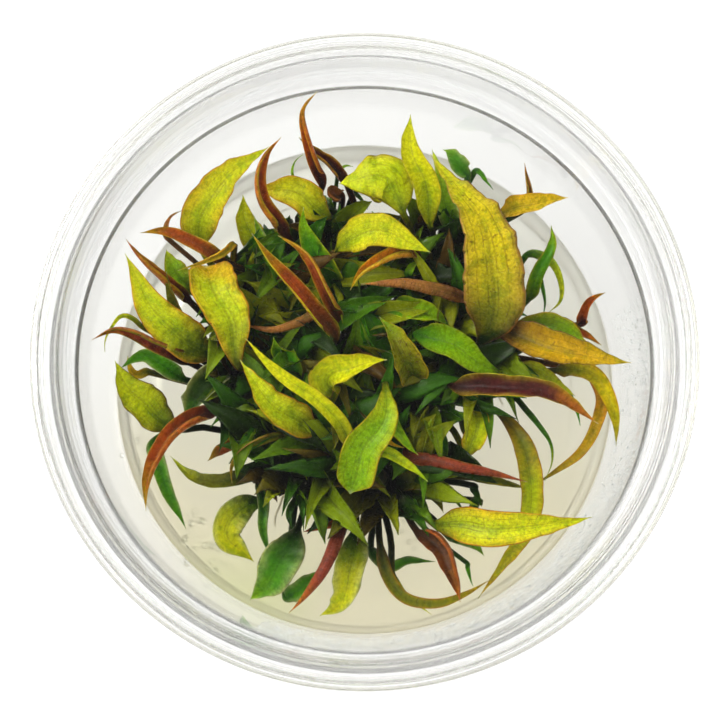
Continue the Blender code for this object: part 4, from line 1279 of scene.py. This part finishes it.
def cross_section(leaf, share, count, bias):
    """For each station, how far across and how high each place of the sheet lies, for a half width of 1.

    The bias makes one margin curl further on than the other.
    """
    flatter = min(1.0, WIDEST_FOLDED / leaf.width)
    fold, curl = (math.radians(angle) * flatter for angle in FORMS[leaf.form][:2])
    half = (count - 1) // 2
    reach = np.linspace(0.0, 1.0, half + 1)
    ends = np.clip((share - 0.6) / 0.4, 0.0, 1.0)
    opened = np.clip(share / 0.2, 0.0, 1.0)
    sides = []
    for more in (1.0 - bias, 1.0 + bias):
        angle = fold * opened[:, None] + (more * curl * opened + 0.6 * ends)[:, None] * reach[None, :] ** 1.6
        middle = 0.5 * (angle[:, 1:] + angle[:, :-1])
        out = np.concatenate([np.zeros((len(share), 1)), np.cumsum(np.cos(middle), 1)], 1) / half
        rise = np.concatenate([np.zeros((len(share), 1)), np.cumsum(np.sin(middle), 1)], 1) / half
        widest = np.maximum(out.max(1), 0.35)[:, None]
        sides.append((out / widest, rise / widest))
    (left_out, left_rise), (right_out, right_rise) = sides
    out = np.concatenate([-left_out[:, :0:-1], right_out], 1)
    return out, np.concatenate([left_rise[:, :0:-1], right_rise], 1)


def fine_width(leaf, share):
    """The blade's width: as in the solid, but drawn out to a fine point."""
    full, taper = SHAPES[leaf.shape]
    up = np.sin(np.clip(share / full, 0.0, 1.0) * math.pi / 2) ** 1.2
    down = np.sin(np.clip((1.0 - share) / (1.0 - taper), 0.0, 1.0) * math.pi / 2) ** 1.3
    stalk = leaf.stalk_width * np.clip((1.0 - share) / 0.7, 0.0, 1.0)
    return np.maximum(stalk + (leaf.width - leaf.stalk_width) * up * down, FINEST_TIP)


def stations(leaf, stalk_rows, blade_rows):
    """Places along a smoothed line of the leaf, how far along they are, and their share of the blade."""
    dense = smooth_curve(np.concatenate([[leaf.root], leaf.line]), 160)
    near = np.linalg.norm(dense - leaf.line[STALK_STEPS], axis=1).argmin()
    for _ in range(6):
        dense[1:-1] = 0.25 * dense[:-2] + 0.5 * dense[1:-1] + 0.25 * dense[2:]
    along = lengths(dense)
    start, end = along[near], along[-1]
    wanted = np.concatenate([
        np.linspace(0.0, start, stalk_rows, endpoint=False),
        start + (end - start) * np.linspace(0.0, 1.0, blade_rows),
    ])
    return places_along(dense, along, wanted), wanted, (wanted - start) / (end - start)


def leaf_sheet(leaf, seed, stalk_rows, blade_rows, count):
    """Rings of points round the leaf, from a round stalk to a thin blade with wavy, curled margins."""
    line, along, share = stations(leaf, stalk_rows, blade_rows)
    on_blade = np.clip(share, 0.0, 1.0)
    across, face = line_frames(line, stalk_rows + blade_rows // 3)
    twist = math.radians(FORMS[leaf.form][2]) * math.sin(seed * 2.1) * on_blade**1.5
    turn, lean = np.cos(twist)[:, None], np.sin(twist)[:, None]
    across, face = across * turn + face * lean, face * turn - across * lean
    half = fine_width(leaf, on_blade) / 2

    sheet = np.linspace(-1.0, 1.0, count)
    out, rise = cross_section(leaf, on_blade, count, CURL_BIAS * math.sin(seed * 1.7))
    out, rise = out * half[:, None], rise * half[:, None]
    waves = 1.6 + (along[-1] - along[stalk_rows]) / 7.0
    phase = seed * 2.4
    calm = np.sin(on_blade * math.pi)
    side = np.sign(sheet)[None, :]
    wave = np.sin(waves * 2 * math.pi * on_blade[:, None] + phase + 1.3 * side)
    wave = wave + 0.5 * np.sin(waves * 3.7 * math.pi * on_blade[:, None] + 2.0 * phase - 0.9 * side)
    rise = rise + WAVES * leaf.width * calm[:, None] * np.abs(sheet)[None, :] ** 2 * wave
    sway = SWAY * leaf.width * calm * np.sin(3.1 * math.pi * on_blade + phase)
    centre = line + across * sway[:, None]

    thick = BLADE_THICK + (0.36 * leaf.stalk_width - BLADE_THICK) * np.exp(-on_blade / 0.12)
    thick = np.minimum(thick, half)
    edge = np.sqrt(np.maximum(1.0 - np.abs(sheet) ** 2.5, 0.0))
    rib = np.exp(-((sheet / 0.11) ** 2))
    upper = thick[:, None] * edge[None, :] - 0.05 * rib[None, :]
    lower = -thick[:, None] * edge[None, :] - (0.16 * (1.0 - on_blade))[:, None] * rib[None, :]

    def placed(extra):
        lifted = (rise + extra)[:, :, None] * face[:, None]
        return centre[:, None] + out[:, :, None] * across[:, None] + lifted

    ring = bent_inside(np.concatenate([placed(upper), placed(lower)[:, -2:0:-1]], 1))
    around = np.concatenate([sheet, sheet[-2:0:-1]])
    around_out = np.concatenate([out, out[:, -2:0:-1]], 1)
    rows, sides = ring.shape[:2]
    place = np.stack(np.broadcast_arrays(around[None, :], along[:, None], share[:, None]), 2)
    flat = np.stack(np.broadcast_arrays(around_out, along[:, None], 0.0), 2)
    faces = [loop[::-1] for loop in ring_faces(rows, sides)]
    return ring.reshape(-1, 3), faces, place.reshape(-1, 3), flat.reshape(-1, 3)


def bent_inside(ring):
    """The rows that reach the lid or the wall moved down or in from it, with the rows beside them."""
    high = eased(ring[:, :, 2].max(1) - CEILING)
    ring = ring - high[:, None, None] * np.array([0.0, 0.0, 1.0])
    radius = np.linalg.norm(ring[:, :, :2], axis=2)
    out = eased((radius - wall_radius(ring[:, :, 2]) + WALL_GAP).max(1))
    middle = ring.mean(1) * np.array([1.0, 1.0, 0.0])
    middle /= np.maximum(np.linalg.norm(middle, axis=1), 1e-9)[:, None]
    return ring - out[:, None, None] * middle[:, None]


def eased(over):
    """What is over a limit on each row, spread to the rows beside it."""
    over = np.maximum(over, 0.0)
    for _ in range(3):
        padded = np.concatenate([over[:1], over, over[-1:]])
        over = np.maximum(over, 0.5 * (padded[:-2] + padded[2:]) * 0.97)
    return over


def make_leaf(leaf, seed, replaced=()):
    fineness = SMALL_LEAF_MESH if leaf.width < NARROW_LEAF else LEAF_MESH
    points, faces, place, flat = leaf_sheet(leaf, seed, *fineness)
    finish = leaf_material(leaf.name, leaf.colours, leaf.marks, seed)
    made = add_piece(leaf.name + "_blade", points, [], faces, finish, replaced)
    mark(made, "leaf_place", place)
    mark(made, "leaf_flat", flat)


def make_young_leaves(plant, leaves, finish):
    """The lower leaves of one plant, joined in one piece."""
    points, faces, places, flats, tints = [], [], [], [], []
    for leaf in leaves:
        leaf_points, leaf_faces, place, flat = leaf_sheet(leaf, RANDOM.uniform(0.0, 50.0), *YOUNG_LEAF_MESH)
        faces.extend(shifted(leaf_faces, len(points)))
        points.extend(leaf_points)
        places.append(place)
        flats.append(flat + np.array([0.0, 0.0, RANDOM.uniform(0.0, 90.0)]))
        tints.append(np.full((len(leaf_points), 3), RANDOM.uniform(0.0, 1.0) ** 1.4))
    made = add_piece(plant + "_young_leaves", points, [], faces, finish)
    mark(made, "leaf_place", np.concatenate(places))
    mark(made, "leaf_flat", np.concatenate(flats))
    mark(made, "leaf_tint", np.concatenate(tints))


def mark(made, name, values):
    """A vector on each point of a piece, which its material reads."""
    attribute = made.data.attributes.new(name, "FLOAT_VECTOR", "POINT")
    attribute.data.foreach_set("vector", np.asarray(values, np.float32).reshape(-1))


def beads(name, centres, radii, normals, finish):
    """Many small drops joined in one mesh, each a low sphere flattened along its own normal."""
    unit_points = []
    for row in range(BEAD_ROWS):
        tilt = math.pi * (row + 0.5) / BEAD_ROWS
        for side in range(BEAD_SIDES):
            unit_points.append(round_axis(math.sin(tilt), 2 * math.pi * side / BEAD_SIDES, math.cos(tilt)))
    unit_points = np.array(unit_points)
    loops = [loop[::-1] for loop in ring_faces(BEAD_ROWS, BEAD_SIDES)]
    points, faces = [], []
    for centre, radius, normal in zip(centres, radii, normals):
        normal = unit(normal)
        one = unit(np.cross(normal, (0.0, 0.0, 1.0) if abs(normal[2]) < 0.9 else (1.0, 0.0, 0.0)))
        two = np.cross(normal, one)
        faces.extend(shifted(loops, len(points)))
        around = unit_points[:, :1] * one + unit_points[:, 1:2] * two
        points.extend(centre + radius * (around + BEAD_HEIGHT * unit_points[:, 2:] * normal))
    add_piece(name, points, [], faces, finish)


def make_condensation(finish):
    """Fine drops on the inside of the wall, on the right and in front, and beads all round the rim."""
    centres, radii, normals = [], [], []
    for _ in range(DROPLETS):
        angle = math.radians(RANDOM.uniform(*DROPLET_ARC))
        height = DROPLET_LOW + DROPLET_RISE * RANDOM.uniform(0.0, 1.0) ** 0.8
        size = DROPLET_SIZE + DROPLET_SPREAD * RANDOM.uniform(0.0, 1.0) ** 2
        centres.append(round_axis(wall_radius(height) - 0.4 * size, angle, height))
        normals.append(round_axis(1.0, angle, 0.0))
        radii.append(size)
    beads("wall_droplets", centres, radii, normals, finish)
    centres, radii, normals = [], [], []
    for _ in range(RIM_DROPLETS):
        angle = RANDOM.uniform(0.0, 2 * math.pi)
        radius = RIM_WATER_RADIUS + RANDOM.uniform(-0.5, 0.6)
        height = RIM_WATER_HEIGHT + RANDOM.uniform(-0.15, 0.15)
        centres.append(round_axis(radius, angle, height))
        normals.append(round_axis(1.0, angle, 1.0))
        radii.append(RANDOM.uniform(*RIM_DROPLET_SIZE))
    beads("rim_droplets", centres, radii, normals, finish)


def make_rim_water(finish):
    """The thin, wavy line of water that hangs where the lid's panel meets the wall."""
    steps, sides = 720, 8
    turn = np.linspace(0.0, 2 * math.pi, steps, endpoint=False)
    radius = RIM_WATER_RADIUS + 0.14 * np.sin(23 * turn) + 0.1 * np.sin(61 * turn + 1.0)
    height = RIM_WATER_HEIGHT + 0.06 * np.sin(31 * turn)
    thick = 0.22 + 0.06 * np.sin(57 * turn + 2.0) + 0.05 * np.sin(97 * turn)
    points = []
    for way, out, level, size in zip(turn, radius, height, thick):
        for side in range(sides):
            angle = 2 * math.pi * side / sides
            points.append(round_axis(out + size * math.cos(angle), way, level + size * math.sin(angle)))
    faces = []
    for step in range(steps):
        low, high = step * sides, (step + 1) % steps * sides
        for side in range(sides):
            after = (side + 1) % sides
            faces.append((low + side, high + side, high + after, low + after))
    add_piece("rim_water", points, [], faces, finish)


def make_bubbles(finish):
    """Small bubbles that stay on the gel's surface."""
    centres, radii, normals = [], [], []
    for middle, spread_out, count in BUBBLES:
        x, y, _ = from_photo(*middle, GEL_TOP)
        for _ in range(count):
            centres.append((RANDOM.normal(x, spread_out), RANDOM.normal(y, spread_out), GEL_TOP + 0.05))
            radii.append(RANDOM.uniform(*BUBBLE_SIZE))
            normals.append((0.0, 0.0, 1.0))
    beads("gel_bubbles", centres, radii, normals, finish)


def make_floor():
    """A pale opal table that glows softly, as a light table does."""
    mesh = bpy.data.meshes.new("floor")
    side, level = FLOOR_SIDE * MM, FLOOR_LEVEL * MM
    corners = [(-side, -side, level), (side, -side, level), (side, side, level), (-side, side, level)]
    mesh.from_pydata(corners, [], [(0, 1, 2, 3)])
    floor = bpy.data.objects.new("floor", mesh)
    made, _, shader = new_tree("pale floor")
    set_inputs(shader, {
        "Base Color": (0.12, 0.12, 0.12, 1.0),
        "Roughness": 0.9,
        "Specular IOR Level": 0.0,
        "Emission Color": (1.0, 1.0, 1.0, 1.0),
        "Emission Strength": FLOOR_GLOW,
    })
    made.cycles.emission_sampling = "NONE"
    mesh.materials.append(made)
    bpy.context.scene.collection.objects.link(floor)


def make_studio():
    """A soft white surround with a broad window from the upper left, and a dark flag above the camera.

    The flag is where the lid would mirror light into a view from above.
    """
    world = bpy.data.worlds.new("studio")
    world.use_nodes = True
    tree = world.node_tree
    way = node(tree, "TexCoord").outputs["Generated"]
    _, _, up = node(tree, "SeparateXYZ", way).outputs
    towards = node(tree, "VectorMath", way, KEY_WAY, operation="DOT_PRODUCT").outputs["Value"]
    glow = scaled(tree, step_up(tree, towards, -0.1, 0.95), KEY_STRENGTH, FILL_STRENGTH)
    glow = scaled(tree, step_up(tree, towards, *WINDOW_EDGE), WINDOW_STRENGTH, glow)
    rising = scaled(tree, step_up(tree, up, 0.0, 0.5), 0.45, 0.55)
    flag = node(tree, "VectorMath", way, FLAG_WAY, operation="DOT_PRODUCT").outputs["Value"]
    flagged = scaled(tree, step_up(tree, flag, *FLAG_EDGE), FLAG_DARKNESS - 1.0, 1.0)
    shader = tree.nodes["Background"]
    put(tree, shader.inputs["Strength"], product(tree, product(tree, glow, rising), flagged))
    shader.inputs["Color"].default_value = (1.0, 1.0, 1.0, 1.0)
    world.cycles.sampling_method = "NONE"
    bpy.context.scene.world = world


def make_camera():
    eye, aim = Vector(EYE) * MM, Vector(AIM) * MM
    data = bpy.data.cameras.new("camera")
    data.sensor_width = SENSOR_SIDE
    data.lens = SENSOR_SIDE * PHOTO_FOCUS / PHOTO_SIDE
    data.clip_start = 0.01
    camera = bpy.data.objects.new("camera", data)
    camera.location = eye
    camera.rotation_euler = (aim - eye).to_track_quat("-Z", "Y").to_euler()
    bpy.context.scene.collection.objects.link(camera)
    bpy.context.scene.camera = camera


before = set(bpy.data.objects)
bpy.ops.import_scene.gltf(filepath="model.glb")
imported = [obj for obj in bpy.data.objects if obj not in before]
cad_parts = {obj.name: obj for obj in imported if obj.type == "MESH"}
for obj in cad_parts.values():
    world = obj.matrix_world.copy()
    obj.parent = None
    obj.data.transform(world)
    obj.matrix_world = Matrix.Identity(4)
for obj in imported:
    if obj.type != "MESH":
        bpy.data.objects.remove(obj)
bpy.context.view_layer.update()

make_camera()
make_studio()
make_floor()
make_cup()
make_lid()
make_gel()

places = {name: from_photo(x, y, GEL_TOP) for name, (x, y) in CROWNS.items()}
rhizome, root, water = crown_material(), root_material(), water_material()
for plant, place in places.items():
    make_crown(plant, place, rhizome)
    make_roots(plant, place, root)

main_leaves = grow_leaves(places)
make_room(main_leaves, places, ROUNDS, *SAMPLES)
small_leaves, young_leaves = grow_small_leaves(places), grow_young_leaves(places)
all_leaves = main_leaves + small_leaves + young_leaves
make_room(all_leaves, places, SMALL_ROUNDS, *SMALL_SAMPLES, len(main_leaves))
for seed, leaf in enumerate(main_leaves, 1):
    make_leaf(leaf, seed, [leaf.name])
for seed, leaf in enumerate(small_leaves, FIRST_SMALL_SEED):
    make_leaf(leaf, seed)
young = young_leaf_material("young leaf")
for plant in places:
    make_young_leaves(plant, [leaf for leaf in young_leaves if leaf.name.startswith(plant)], young)
make_condensation(water)
make_rim_water(water)
make_bubbles(water)

scene = bpy.context.scene
scene.view_settings.view_transform = "Standard"
scene.cycles.max_bounces = LIGHT_BOUNCES
scene.cycles.transmission_bounces = LIGHT_BOUNCES
scene.cycles.glossy_bounces = LIGHT_BOUNCES
scene.cycles.diffuse_bounces = DIFFUSE_BOUNCES
